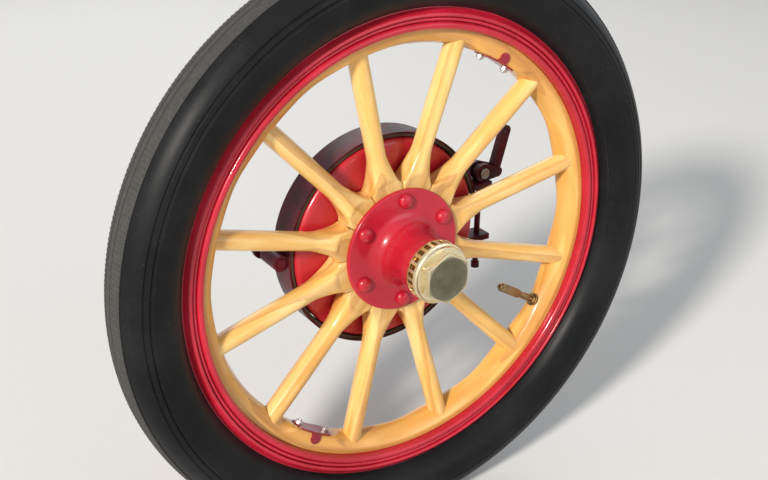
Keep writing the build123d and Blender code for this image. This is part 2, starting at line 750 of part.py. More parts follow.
# External brake band: the strap, two ears for the adjuster and the anchor's eye.
def make_band():
    band = open_ring(band_inner_radius, band_outer_radius, band_front_y, band_back_y)
    root_x = band_inner_radius * cos(radians(band_gap_half_angle)) - over
    end_x = band_outer_radius + ear_reach
    for way in (1, -1):
        low = ear_top_z * way
        high = (ear_top_z + ear_thickness) * way
        ear = plate([(root_x, low), (end_x, low), (end_x, high), (root_x, high)],
                    band_mid_y - ear_width / 2, band_mid_y + ear_width / 2)
        ear = ear - rod(band_inner_radius + band_thickness / 2, band_front_y, band_back_y)
        band = band + ear
    band = band - post(adjuster_radius + adjuster_clearance, -2 * ear_top_z, 2 * ear_top_z,
                       adjuster_x, band_mid_y)
    anchor_x = -band_outer_radius - anchor_reach
    eye = rod(anchor_pin_radius + anchor_wall, band_front_y + anchor_eye_inset, band_back_y, anchor_x)
    band = band + (eye - rod(band_inner_radius + band_thickness / 2, band_front_y, band_back_y))
    return band - rod(anchor_pin_radius + anchor_clearance, band_front_y, band_back_y + over, anchor_x)


# Friction lining inside the band.
def make_lining():
    outer = band_inner_radius - lining_clearance
    return open_ring(lining_inner_radius, outer, band_front_y + lining_margin, band_back_y - lining_margin)


# Forked cam lever that closes the band, with a cranked arm up to the pull rod's eye.
def make_lever():
    inner = lever_arm_thickness / 2 + lever_clearance
    outer = inner + lever_cheek
    pivot = (adjuster_x, pivot_z)
    elbow = (adjuster_x + lever_elbow_x, pivot_z + lever_elbow_z)
    tip = (adjuster_x + lever_tip_x, pivot_z + lever_tip_z)
    half = lever_arm_thickness / 2
    lever = link(elbow, tip, lever_arm_radius, lever_arm_radius, band_mid_y - half, band_mid_y + half)
    lever = lever + rod(lever_arm_radius, band_mid_y - outer, band_mid_y + outer, *elbow)
    for low, high in ((-outer, -inner), (inner, outer)):
        cheek = link(pivot, elbow, lever_cam_radius, lever_arm_radius, band_mid_y + low, band_mid_y + high)
        lever = lever + cheek
    lever = lever - rod(lever_pin_radius + lever_pin_clearance, band_front_y, band_back_y, *pivot)
    return lever - rod(lever_eye_radius, band_front_y, band_back_y, *tip)


# Pivot pin with round heads, through the lever's cheeks and the adjuster's eye.
def make_lever_pin():
    reach = lever_arm_thickness / 2 + lever_clearance + lever_cheek + lever_pin_play
    head = lever_pin_head
    pin = rod(lever_pin_radius, band_mid_y - reach, band_mid_y + reach, adjuster_x, pivot_z)
    for low, high in ((-reach - head, -reach), (reach, reach + head)):
        pin = pin + rod(lever_pin_radius + head, band_mid_y + low, band_mid_y + high, adjuster_x, pivot_z)
    return pin


# Eyebolt that draws the band's two ears together, with its nut below.
def make_adjuster():
    half = lever_arm_thickness / 2
    eye = rod(adjuster_eye_radius, band_mid_y - half, band_mid_y + half, adjuster_x, pivot_z)
    nut_top = -ear_top_z - ear_thickness - lever_clearance
    nut_low = nut_top - adjuster_nut_length
    tail = nut_low - adjuster_tail
    bolt = eye + post(adjuster_radius, tail, pivot_z, adjuster_x, band_mid_y)
    bolt = bolt + Pos(adjuster_x, band_mid_y, nut_low) * extrude(
        RegularPolygon(adjuster_nut_radius, 6), adjuster_nut_length)
    bolt = bolt + post(adjuster_tip_radius, tail, tail + adjuster_tip_length, adjuster_x, band_mid_y)
    return bolt - rod(lever_pin_radius + lever_pin_clearance, band_front_y, band_back_y, adjuster_x, pivot_z)


# Carrier on the axle tube with one arm forward to the band's anchor pin.
def make_carrier():
    front, back = carrier_front_y, carrier_back_y
    anchor_x = -band_outer_radius - anchor_reach
    carrier = rod(carrier_hub_radius, front, back)
    carrier = carrier + link((0, 0), (anchor_x, 0), carrier_arm_root, carrier_arm_end, front, back)
    carrier = carrier + rod(anchor_pin_radius, band_front_y + anchor_pin_inset, front + over, anchor_x)
    collar = rod(tube_radius + seat_wall, back - over, back + carrier_collar)
    return carrier + collar - rod(tube_radius + clamp_clearance, front - over, back + carrier_collar + over)


# Axle tube with the spindle that the hub turns on. The inner end is open for the drive shaft.
def make_axle_tube():
    return turned(
        (0, tube_bore), (0, tube_seat_radius),
        (-tube_seat_length, tube_seat_radius), (-tube_seat_length, tube_radius),
        (shoulder_y + tube_edge, tube_radius), (shoulder_y, tube_radius - tube_edge),
        (shoulder_y, spindle_radius),
        (face_y - spindle_outer_reach, spindle_radius),
        (face_y - spindle_outer_reach, spindle_bore),
        (shoulder_y + tube_plug_length, spindle_bore),
        (shoulder_y + tube_plug_length, tube_bore),
    )


# Drive shaft through the tube and the spindle, with its driving plate against the hub's nose.
def make_drive_shaft():
    plate_back = nose_end_y - dog_clearance
    plate_front = plate_back - dog_thickness
    return turned(
        (plate_front, 0), (plate_front, dog_radius), (plate_back, dog_radius), (plate_back, shaft_radius),
        (0, shaft_radius), (0, shaft_end_radius), (shaft_end_length - shaft_end_edge, shaft_end_radius),
        (shaft_end_length, shaft_end_radius - shaft_end_edge), (shaft_end_length, 0),
    )


# Spring seat clamped on the tube: saddle, flat pad and the U bolts' holes.
def make_spring_seat():
    low, high = seat_mid_y - seat_length / 2, seat_mid_y + seat_length / 2
    saddle_radius = tube_radius + seat_wall
    half = seat_pad_width / 2
    under = seat_pad_height - seat_pad_thickness
    web_top = under + over
    foot = seat_web_foot
    web = plate([(-foot, 0), (foot, 0), (saddle_radius, web_top), (-saddle_radius, web_top)],
                low + seat_web_inset, high - seat_web_inset)
    pad = plate([(-half, under), (half, under), (half, seat_pad_height), (-half, seat_pad_height)], low, high)
    seat = rod(saddle_radius, low, high) + web + pad
    seat = seat - rod(tube_radius + clamp_clearance, low - over, high + over)
    for x in (-u_bolt_spacing_x / 2, u_bolt_spacing_x / 2):
        for y in (-u_bolt_spacing_y / 2, u_bolt_spacing_y / 2):
            seat = seat - post(u_bolt_hole_radius, under - over, seat_pad_height + over, x, seat_mid_y + y)
    return seat


nodes = {
    "tyre": make_tyre(),
    "rim": make_rim(),
    "side_ring": make_side_ring(),
    "lock_ring": make_lock_ring(),
    "felloe_half_rear": make_felloe_half(valve_hole=True),
    "felloe_half_front": spun(make_felloe_half(valve_hole=False), 180),
    "felloe_plate_upper": spun(make_felloe_plate(), felloe_joint_angle),
    "felloe_plate_lower": spun(make_felloe_plate(), felloe_joint_angle + 180),
    "hub": make_hub(),
    "hub_inner_flange": make_inner_flange(),
    "hub_bolts": make_hub_bolts(),
    "hub_cap": make_hub_cap(),
    "brake_drum": make_drum(),
    "valve_stem": make_valve_stem(),
    "drive_shaft": make_drive_shaft(),
    "axle_tube": make_axle_tube(),
    "spring_seat": make_spring_seat(),
    "brake_carrier": make_carrier(),
    "brake_band": make_band(),
    "band_lining": make_lining(),
    "brake_lever": make_lever(),
    "lever_pin": make_lever_pin(),
    "band_adjuster": make_adjuster(),
}
spoke = make_spoke()
for i in range(spoke_count):
    turned_spoke = spun(spoke, spoke_phase + i * spoke_pitch)
    nodes[f"spoke_{i + 1:02d}"] = drilled(turned_spoke, butt_front_y, butt_back_y)

os.makedirs("parts", exist_ok=True)
for name, shape in nodes.items():
    export_step(shape, f"parts/{name}.step")
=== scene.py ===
from math import cos, pi, radians, sin, sqrt, tan

import bmesh
import bpy
import numpy as np
from mathutils import Matrix, Vector


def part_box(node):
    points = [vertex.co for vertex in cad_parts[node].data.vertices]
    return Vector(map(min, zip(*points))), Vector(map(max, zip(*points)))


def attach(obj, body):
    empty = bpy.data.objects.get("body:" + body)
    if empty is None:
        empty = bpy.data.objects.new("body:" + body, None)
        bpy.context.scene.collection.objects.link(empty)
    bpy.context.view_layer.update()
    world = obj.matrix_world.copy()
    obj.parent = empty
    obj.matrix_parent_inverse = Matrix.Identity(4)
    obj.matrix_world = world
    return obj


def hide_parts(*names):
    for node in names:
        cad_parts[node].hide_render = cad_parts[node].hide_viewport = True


# A wooden spoked motor car wheel on its axle end, in metres, +Z up.
# The axle lies along Y and the wheel's outer face looks along -Y.
# Angles on the wheel are clockwise from +Z, seen from outside.
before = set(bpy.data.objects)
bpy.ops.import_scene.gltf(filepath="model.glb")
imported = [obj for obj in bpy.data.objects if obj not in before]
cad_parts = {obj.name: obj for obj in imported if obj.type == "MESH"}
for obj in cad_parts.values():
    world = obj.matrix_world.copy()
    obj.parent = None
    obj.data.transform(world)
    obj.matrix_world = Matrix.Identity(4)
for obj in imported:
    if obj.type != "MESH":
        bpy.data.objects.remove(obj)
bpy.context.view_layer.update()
print("frame loaded:", len(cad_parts), "nodes")

mm = 0.001

# Places that several pieces share, in millimetres.
wheel = {
    "facePlane": -260.0,        # rim's outer flange plane
    "rimSeat": 320.0,           # felloe's outer radius
    "flangeRadius": 351.0,
    "felloeInner": 294.0,
    "felloeJointAngle": 30.6,
    "buttFront": -234.9,
    "buttBack": -199.9,
    "coreRadius": 40.0,
    "drumBore": 40.15,
    "drumWall": 4.0,
    "spokePhase": 15.6,
    "spokePitch": 30.0,
}


# A node's front and back along the axle, in millimetres.
def span(node):
    return [corner.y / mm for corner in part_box(node)]


felloeFront, felloeBack = span("felloe_half_rear")
felloeMid = (felloeFront + felloeBack) / 2
drumFront, drumBack = span("brake_drum")
capFace, capRear = span("hub_cap")
rimBack = span("rim")[1]
tyreMid = sum(span("tyre")) / 2
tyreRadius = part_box("tyre")[1].z / mm


# Shape helpers

# Angles evenly spaced round a full turn: 2 pi k / count.
def fullTurn(count):
    return np.arange(count) * 2 * pi / count


# Points at y along the axle and at radius r from it, at the angle a: (r sin a, y, r cos a).
def polar(y, r, angle):
    return np.stack(np.broadcast_arrays(r * np.sin(angle), y, r * np.cos(angle)), -1)


# Turn a grid of points clockwise about the wheel's axis, by degrees.
def spin(points, angle):
    c, s = cos(radians(angle)), sin(radians(angle))
    x, y, z = points[..., 0], points[..., 1], points[..., 2]
    return np.stack([x * c + z * s, y, z * c - x * s], -1)


# An outline with its corners rounded: each corner is (y, r, radius), and the arc of that radius touches both
# sides at radius * tan(turn / 2) from the corner. Returns (y, r) points.
def roundedOutline(corners, steps=5, closed=True):
    pts = np.array([c[:2] for c in corners], float)
    out = []
    for i, corner in enumerate(corners):
        here = pts[i]
        ends = not closed and i in (0, len(corners) - 1)
        if ends or corner[2] <= 0:
            out.append(here[None])
            continue
        toPrev = pts[i - 1] - here
        toNext = pts[(i + 1) % len(pts)] - here
        dPrev = toPrev / np.hypot(*toPrev)
        dNext = toNext / np.hypot(*toNext)
        half = np.arccos(np.clip(dPrev @ dNext, -1, 1)) / 2
        reach = corner[2] / np.tan(half)
        middle = here + (dPrev + dNext) / np.hypot(*(dPrev + dNext)) * corner[2] / np.sin(half)
        start = here + dPrev * reach - middle
        finish = here + dNext * reach - middle
        sweep = np.arctan2(start[0] * finish[1] - start[1] * finish[0], start @ finish)
        t = np.linspace(0, 1, steps + 1)[:, None] * sweep
        out.append(middle + start * np.cos(t) + np.array([-start[1], start[0]]) * np.sin(t))
    return np.concatenate(out)


# A mesh from a grid of points, rows x columns x 3 in millimetres, closed round in the directions asked for.
# Edges that turn by more than the sharp angle stay sharp.
def gridMesh(name, grid, sharp, wrapRows=False, wrapColumns=True, attributes=None):
    rows, columns = grid.shape[:2]
    i = np.arange(rows if wrapRows else rows - 1)
    j = np.arange(columns if wrapColumns else columns - 1)
    ii, jj = [a.ravel() for a in np.meshgrid(i, j, indexing="ij")]
    nextI, nextJ = (ii + 1) % rows, (jj + 1) % columns
    faces = np.stack([ii * columns + jj, ii * columns + nextJ, nextI * columns + nextJ, nextI * columns + jj], 1)
    mesh = bpy.data.meshes.new(name)
    mesh.from_pydata((grid.reshape(-1, 3) * mm).tolist(), [], faces.tolist())
    uv = mesh.uv_layers.new(name="UVMap")
    rowUv = np.stack([ii, ii, ii + 1, ii + 1], 1) / len(i)
    columnUv = np.stack([jj, jj + 1, jj + 1, jj], 1) / len(j)
    uv.data.foreach_set("uv", np.stack([columnUv, rowUv], -1).ravel().astype(np.float32))
    for key, values in (attributes or {}).items():
        kind, field = ("FLOAT_VECTOR", "vector") if values.ndim == 3 else ("FLOAT", "value")
        mesh.attributes.new(key, kind, "POINT").data.foreach_set(field, values.ravel().astype(np.float32))
    return finishMesh(name, mesh, sharp)


# Merge doubled points at poles and seams, point the faces outwards and set which edges stay sharp.
def finishMesh(name, mesh, sharp, merge=0.01 * mm):
    work = bmesh.new()
    work.from_mesh(mesh)
    bmesh.ops.remove_doubles(work, verts=work.verts, dist=merge)
    bmesh.ops.recalc_face_normals(work, faces=work.faces)
    work.to_mesh(mesh)
    work.free()
    mesh.shade_smooth()
    mesh.set_sharp_from_angle(angle=radians(sharp))
    return newPiece(name, mesh)


# Link a mesh, lamp or camera to the scene as an object at the origin.
def newPiece(name, mesh):
    piece = bpy.data.objects.new(name, mesh)
    bpy.context.scene.collection.objects.link(piece)
    return piece


# A closed outline of (y, r) points turned about the wheel's axis.
def lathe(name, outline, segments, sharp=50):
    return gridMesh(name, polar(outline[:, :1], outline[:, 1:], fullTurn(segments)), sharp, wrapRows=True)


# Several grids with the same layout as one mesh.
def joined(name, grids, sharp):
    pieces = [gridMesh(name, grid, sharp) for grid in grids]
    work = bmesh.new()
    for piece in pieces:
        work.from_mesh(piece.data)
    for piece in pieces[1:]:
        bpy.data.meshes.remove(piece.data)
    work.to_mesh(pieces[0].data)
    work.free()
    pieces[0].data.set_sharp_from_angle(angle=radians(sharp))
    return pieces[0]


# A closed prism along Y from an outline round its centre: rows run centre, inset edge, side, inset edge, centre.
def prismGrid(outline, low, high, bevel):
    inset = outline * (1 - bevel / np.hypot(*outline.T)[:, None])
    rows = []
    for flat, level in ((outline * 0, low), (inset, low), (outline, low + bevel), (outline, high - bevel),
                        (inset, high), (outline * 0, high)):
        rows.append(np.column_stack([flat[:, 0], np.full(len(flat), level), flat[:, 1]]))
    return np.array(rows)


# A regular polygon as (x, z), cut off at a circle through its corners: radius = min(flat / cos a, corner).
def polygonOutline(sides, flat, corner, points, turn=0.0):
    angle = fullTurn(points)
    local = (angle - radians(turn) + pi / sides) % (2 * pi / sides) - pi / sides
    radius = np.minimum(flat / np.cos(local), corner)
    return np.stack([radius * np.sin(angle), radius * np.cos(angle)], -1)


# A prism stood up under the felloe's middle: its axis lies along the wheel's radius at the angle.
def underFelloe(prism, angle):
    return spin(np.stack([prism[..., 0], felloeMid + prism[..., 2], prism[..., 1]], -1), angle)


# Put a piece on its body, with its finish and the nodes that it stands for.
def place(piece, material, slot, *nodes, body="wheel"):
    piece.data.materials.append(material)
    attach(piece, body)
    if nodes:
        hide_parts(*nodes)


# Material helpers

# A node tree while it is built. Each method adds a node and gives its output. A node's inputs are named or
# numbered, and each is linked where its value is another node's output, or else set.
class Nodes:
    # The tree of a material or a world, and its main node.
    def __init__(self, owner, main, inputs):
        owner.use_nodes = True
        self.owner, self.tree = owner, owner.node_tree
        self.main = self.tree.nodes[main]
        self.fill(self.main, inputs)

    # Link or set a node's inputs.
    def fill(self, node, inputs):
        for key, value in inputs.items():
            if isinstance(value, bpy.types.NodeSocket):
                self.tree.links.new(value, node.inputs[key])
            else:
                node.inputs[key].default_value = value

    # Add a node with its settings and inputs, and give all its outputs.
    def add(self, kind, settings, inputs):
        node = self.tree.nodes.new("ShaderNode" + kind)
        for key, value in settings.items():
            setattr(node, key, value)
        self.fill(node, inputs)
        return node.outputs

    # One sum of one, two or three numbers.
    def maths(self, operation, *values):
        return self.add("Math", {"operation": operation}, dict(enumerate(values)))[0]

    # a * b
    def times(self, a, b):
        return self.maths("MULTIPLY", a, b)

    # a * b + c
    def timesPlus(self, a, b, c):
        return self.maths("MULTIPLY_ADD", a, b, c)

    # A smooth step: 0 below low, 1 above high.
    def step(self, value, low, high):
        return self.add("MapRange", {"interpolation_type": "SMOOTHSTEP"},
                        {"Value": value, "From Min": low, "From Max": high})[0]

    # A colour between two: a + factor * (b - a).
    def mix(self, factor, a, b):
        return self.add("Mix", {"data_type": "RGBA"}, {0: factor, 6: a, 7: b})[2]

    # Place on the piece, in metres.
    def objectPlace(self):
        return self.add("TexCoord", {}, {})["Object"]

    # Distance from the wheel's axis and place along it, in metres.
    def axlePlace(self):
        x, y, z = self.add("SeparateXYZ", {}, {0: self.objectPlace()})
        return self.maths("SQRT", self.maths("ADD", self.times(x, x), self.times(z, z))), y

    # Three numbers as one place.
    def vector(self, x, y, z):
        return self.add("CombineXYZ", {}, {0: x, 1: y, 2: z})[0]

    # A place multiplied along x, y and z.
    def scaled(self, vector, *scale):
        return self.add("Mapping", {}, {"Vector": vector, "Scale": scale})[0]

    # Soft noise round 0.5, with about scale blotches a metre and finer ones laid over them.
    def noise(self, scale, detail, roughness=0.55, distortion=0.0, at=None):
        return self.add("TexNoise", {}, {"Vector": self.objectPlace() if at is None else at, "Scale": scale,
                                         "Detail": detail, "Roughness": roughness, "Distortion": distortion})[0]

    # Parallel bands: one takes 2 pi * size along an axis, and 4 pi * size of x + y + z along the diagonal.
    def bands(self, at, direction, profile, size, inputs):
        return self.add("TexWave", {"wave_type": "BANDS", "bands_direction": direction, "wave_profile": profile},
                        {"Vector": at, "Scale": 1 / size / 20, **inputs})[1]

    # The mesh's own values at each point.
    def attribute(self, name, output):
        return self.add("Attribute", {"attribute_name": name}, {})[output]

    # The finished material: its colour, its relief with the strength and depth in metres, and its roughness.
    def finish(self, colour, height, strength, depth, **rough):
        normal = self.add("Bump", {}, {"Height": height, "Strength": strength, "Distance": depth})[0]
        self.fill(self.main, {"Base Color": colour, "Normal": normal, **rough})
        return self.owner


# A new material with its shader's plain inputs set.
def newMaterial(name, inputs):
    return Nodes(bpy.data.materials.new(name), "Principled BSDF", inputs)


# Red coach enamel: a deep crimson gloss with soft mottling, pale stone chips and dust in patches.
enamel = {"chip": (0.55, 0.28, 0.26, 1), "dust": (0.36, 0.09, 0.08, 1), "chipBlend": 0.02}
enamels = {
    # name: deep tone, bright tone, noise level where chips start, share of dust
    "redEnamel": ((0.42, 0.008, 0.022, 1), (0.55, 0.015, 0.038, 1), 0.755, 0.22),
    "drumEnamel": ((0.40, 0.012, 0.021, 1), (0.52, 0.023, 0.034, 1), 0.76, 0.2),
    # the plates' enamel is the red enamel darkened as painted shade
    "shadeDarkenedPlateEnamel": ((0.21, 0.005, 0.017, 1), (0.30, 0.009, 0.028, 1), 0.77, 0.1),
}


# The tone drifts from deep to bright, with dust where two noises agree and chips where a fine noise is highest.
def makeEnamel(name, deep, bright, chipFrom, wear):
    look = newMaterial(name, {"Coat Weight": 0.35, "Coat Roughness": 0.05, "Specular IOR Level": 0.30})
    tone = look.mix(look.step(look.noise(9, 4), 0.35, 0.68), deep, bright)
    chip = look.step(look.noise(420, 2, 0.5), chipFrom, chipFrom + enamel["chipBlend"])
    patches = look.step(look.noise(12, 3), 0.52, 0.70)
    dust = look.times(patches, look.step(look.noise(160, 4, 0.7), 0.45, 0.8))
    tone = look.mix(look.times(dust, wear), tone, enamel["dust"])
    tone = look.mix(chip, tone, enamel["chip"])
    rough = look.maths("MAXIMUM", look.timesPlus(look.noise(35, 5, 0.6), 0.22, 0.17), look.times(chip, 0.8))
    height = look.timesPlus(chip, -0.5, look.times(look.noise(95, 2), 0.5))
    return look.finish(tone, height, 0.07, 0.6 * mm, Roughness=rough)


# Smooth black rubber: waxy sidewall with fine scuffs in rings, and a grey dusty tread.
rubber = {"black": (0.006, 0.0065, 0.007, 1), "worn": (0.013, 0.013, 0.014, 1), "dust": (0.11, 0.106, 0.10, 1),
          "film": (0.085, 0.082, 0.078, 1), "speck": (0.20, 0.19, 0.17, 1), "treadFrom": 0.4325,
          "treadBlend": 0.0015, "ringsPerMetre": 900.0}


# Scuffs are noise read at (radius, along) * ringsPerMetre, which draws it out into rings. The tread's grey begins
# at a radius.
def makeRubber():
    look = newMaterial("blackRubber", {"Specular IOR Level": 0.12})
    radius, along = look.axlePlace()
    cloud = look.noise(9, 5, 0.6)
    tone = look.mix(look.step(cloud, 0.35, 0.75), rubber["black"], rubber["worn"])
    rings = look.vector(look.times(radius, rubber["ringsPerMetre"]), look.times(along, rubber["ringsPerMetre"]),
                        look.times(cloud, 3.0))
    scuff = look.step(look.noise(0.35, 3, 0.7, at=rings), 0.60, 0.78)
    film = look.times(scuff, look.step(look.noise(5, 2), 0.42, 0.72))
    tone = look.mix(look.times(film, 0.35), tone, rubber["film"])
    speck = look.step(look.noise(520, 2, 0.5), 0.70, 0.74)
    tone = look.mix(look.times(speck, 0.30), tone, rubber["speck"])
    tread = look.step(radius, rubber["treadFrom"], rubber["treadFrom"] + rubber["treadBlend"])
    grit = look.timesPlus(look.noise(130, 5, 0.75), 0.6, 0.25)
    tone = look.mix(look.times(tread, grit), tone, rubber["dust"])
    rough = look.timesPlus(tread, 0.35, look.timesPlus(cloud, 0.22, 0.30))
    height = look.timesPlus(look.noise(260, 4, 0.7), 0.5, look.times(look.noise(0.8, 2, at=rings), 0.35))
    return look.finish(tone, height, 0.18, 0.5 * mm, Roughness=look.timesPlus(film, 0.12, rough))


# Varnished ash or hickory. The grain attribute gives each point's place in its own plank: x and y across it and
# z along it, so a small scale on z draws a pattern out along the grain. Painted shade darkens it by the hub's flange
# and under the rim's nose.
wood = {"line": (0.40, 0.13, 0.020, 1), "pore": (0.20, 0.07, 0.016, 1), "ringSize": 2.6 * mm, "warp": 0.011,
        "paintedShade": 0.40, "hubShadeBand": (0.093, 0.118), "rimShadeBand": (0.309, 0.3155)}
woods = {
    # name: pale, honey and amber tones
    "varnishedWood": ((0.88, 0.62, 0.24, 1), (0.82, 0.48, 0.13, 1), (0.63, 0.27, 0.050, 1)),
    "felloeWood": ((0.80, 0.46, 0.13, 1), (0.72, 0.35, 0.075, 1), (0.55, 0.21, 0.036, 1)),
}


# Year rings are a saw of bands warped by noise, and pores and silk are fine noise drawn out along the grain.
def makeWood(name, pale, honey, amber):
    look = newMaterial(name, {"Coat Weight": 0.5, "Coat Roughness": 0.08, "Specular IOR Level": 0.35})
    grain = look.attribute("grain", "Vector")
    drawn = look.scaled(grain, 1.0, 1.0, 0.07)
    cloud = look.noise(55, 3, 0.5, 0.4, at=look.scaled(grain, 1.0, 1.0, 0.16))
    tone = look.mix(look.step(cloud, 0.30, 0.62), pale, honey)
    tone = look.mix(look.step(look.noise(34, 3, at=drawn), 0.50, 0.78), tone, amber)
    wander = look.add("TexNoise", {}, {"Vector": drawn, "Scale": 42.0, "Detail": 2.0})[1]
    warped = look.add("VectorMath", {"operation": "MULTIPLY_ADD"},
                      {0: wander, 1: (wood["warp"], wood["warp"], 0.0), 2: drawn})[0]
    ring = look.bands(warped, "DIAGONAL", "SAW", wood["ringSize"],
                      {"Distortion": 0.6, "Detail": 2.0, "Detail Scale": 1.2})
    late = look.step(ring, 0.55, 0.98)
    tone = look.mix(look.times(late, 0.42), tone, wood["line"])
    fibre = look.noise(1500, 2, 0.6, at=look.scaled(grain, 1.0, 1.0, 0.022))
    pore = look.times(look.step(fibre, 0.62, 0.72), look.timesPlus(late, 0.5, 0.30))
    tone = look.mix(pore, tone, wood["pore"])
    silk = look.noise(420, 3, 0.6, at=look.scaled(grain, 1.0, 1.0, 0.05))
    tone = look.mix(look.times(look.step(silk, 0.3, 0.9), 0.22), tone, amber)
    # painted shade: towards the pore colour, mottled by noise, in bands by the hub's flange and under the rim's nose
    radius = look.axlePlace()[0]
    nearHub = look.maths("SUBTRACT", 1.0, look.step(radius, *wood["hubShadeBand"]))
    nearEnds = look.maths("MAXIMUM", nearHub, look.step(radius, *wood["rimShadeBand"]))
    paintedShade = look.times(nearEnds, look.timesPlus(look.noise(90, 4, 0.7), 0.8, 0.1))
    tone = look.mix(look.times(paintedShade, wood["paintedShade"]), tone, wood["pore"])
    rough = look.timesPlus(pore, 0.25, look.timesPlus(look.noise(48, 4, 0.6), 0.22, 0.20))
    height = look.timesPlus(pore, -0.8, look.times(silk, 0.5))
    return look.finish(tone, height, 0.14, 0.4 * mm, Roughness=rough)


# Satin brass with brown stains and fine turning marks. An attribute can darken it: painted shade in the cap's slots,
# and a painted dark reflection towards the middle of its hexagon.
brass = {"brown": (0.16, 0.075, 0.02, 1), "slot": (0.22, 0.11, 0.028, 1), "face": (0.20, 0.185, 0.125, 1),
         "marksPerMetre": 2600.0}
brasses = {
    # name: pale tone, deep tone, roughness, share of stains, attribute that darkens it
    "slottedBrass": ((0.84, 0.75, 0.52, 1), (0.66, 0.53, 0.28, 1), 0.20, 0.10, "slot"),
    "edgedBrass": ((0.84, 0.75, 0.52, 1), (0.66, 0.53, 0.28, 1), 0.20, 0.10, "face"),
    # the cap's round face is brass painted dark as a reflection of dark surroundings
    "capFaceBrass": ((0.20, 0.185, 0.125, 1), (0.135, 0.125, 0.08, 1), 0.38, 0.1, None),
    "valveBrass": ((0.35, 0.24, 0.12, 1), (0.18, 0.105, 0.045, 1), 0.30, 0.5, None),
}


# Turning marks are noise read at (radius, along) * marksPerMetre. Stains lie where a coarser noise is high.
def makeBrass(name, pale, deep, rough, stains, darkenedBy):
    look = newMaterial(name, {"Metallic": 1.0})
    radius, along = look.axlePlace()
    tone = look.mix(look.step(look.noise(38, 4, 0.6), 0.35, 0.75), pale, deep)
    stain = look.step(look.noise(85, 5, 0.7), 0.58, 0.80)
    tone = look.mix(look.times(stain, stains), tone, brass["brown"])
    # painted shade in the slots and a painted dark reflection on the hexagon's face, by the attribute's share
    if darkenedBy:
        tone = look.mix(look.step(look.attribute(darkenedBy, "Fac"), 0.1, 0.95), tone, brass[darkenedBy])
    marks = look.vector(look.times(radius, brass["marksPerMetre"]), look.times(along, brass["marksPerMetre"]), 0.0)
    brushed = look.noise(0.6, 2, 0.6, at=marks)
    smear = look.timesPlus(look.noise(70, 4, 0.65), 0.20, rough - 0.08)
    height = look.timesPlus(look.noise(240, 3), 0.5, look.times(brushed, 0.4))
    return look.finish(tone, height, 0.12, 0.4 * mm, Roughness=look.timesPlus(brushed, 0.08, smear))


# Old working paint on the brake gear and the axle, oily and dusty.
gearPaint = {"dust": (0.10, 0.058, 0.045, 1)}
gearPaints = {
    # name: clean tone, oily tone, share of dust
    # the brake gear's dark maroon is darkened further as painted shade
    "shadeDarkenedBrakePaint": ((0.088, 0.006, 0.012, 1), (0.036, 0.005, 0.009, 1), 0.25),
    "axlePaint": ((0.030, 0.026, 0.026, 1), (0.014, 0.012, 0.012, 1), 0.45),
}


# Oil darkens and smooths the paint where one noise is high, and dust dulls it where another is.
def makeGearPaint(name, clean, oily, dusty):
    look = newMaterial(name, {"Specular IOR Level": 0.16})
    oil = look.step(look.noise(26, 5, 0.65), 0.42, 0.66)
    dust = look.times(look.step(look.noise(75, 6, 0.75), 0.52, 0.82), dusty)
    tone = look.mix(dust, look.mix(oil, clean, oily), gearPaint["dust"])
    rough = look.timesPlus(dust, 0.5, look.timesPlus(oil, -0.12, 0.38))
    return look.finish(tone, look.noise(300, 4, 0.7), 0.22, 0.6 * mm, Roughness=rough)


# Bare steel with turning marks, dull patches and a little rust.
steel = {"dull": (0.22, 0.21, 0.20, 1), "rust": (0.16, 0.060, 0.022, 1)}
steels = {
    # name: bright tone, share of rust
    "bareSteel": ((0.47, 0.46, 0.44, 1), 0.6),
    "paleNut": ((0.80, 0.70, 0.66, 1), 0.15),
}


# Marks are noise squeezed along the axle by 40, and full rust adds 0.5 to the roughness.
def makeSteel(name, bright, rusty):
    look = newMaterial(name, {"Metallic": 1.0})
    tone = look.mix(look.noise(60, 4), bright, steel["dull"])
    rust = look.times(look.step(look.noise(110, 5, 0.7), 0.60, 0.74), rusty)
    marks = look.noise(60, 2, at=look.scaled(look.objectPlace(), 1.0, 40.0, 1.0))
    rough = look.timesPlus(rust, 0.5, look.timesPlus(marks, 0.25, 0.22))
    return look.finish(look.mix(rust, tone, steel["rust"]), marks, 0.15, 0.3 * mm, Roughness=rough)


# Woven brake lining: crossed strands, brown with dust.
lining = {"strand": (0.30, 0.19, 0.09, 1), "gap": (0.055, 0.035, 0.02, 1), "bandSize": 2.4 * mm}


# The weave is the product of two sets of bands, one along the axle and one along a diagonal.
def makeLining():
    look = newMaterial("wovenLining", {"Roughness": 0.9})
    weave = look.times(*[look.bands(look.objectPlace(), direction, "SIN", lining["bandSize"], {"Distortion": 0.5})
                         for direction in ("Y", "DIAGONAL")])
    return look.finish(look.mix(weave, lining["gap"], lining["strand"]), weave, 0.5, 0.8 * mm)


redEnamel, drumEnamel, shadeDarkenedPlateEnamel = [makeEnamel(name, *values) for name, values in enamels.items()]
blackRubber = makeRubber()
varnishedWood, felloeWood = [makeWood(name, *values) for name, values in woods.items()]
slottedBrass, edgedBrass, darkReflectionBrass, oldBrass = [makeBrass(name, *values) for name, values in brasses.items()]
shadeDarkenedBrakePaint, axlePaint = [makeGearPaint(name, *values) for name, values in gearPaints.items()]
bareSteel, paleNut = [makeSteel(name, *values) for name, values in steels.items()]
wovenLining = makeLining()
print("materials made")


# Tyre

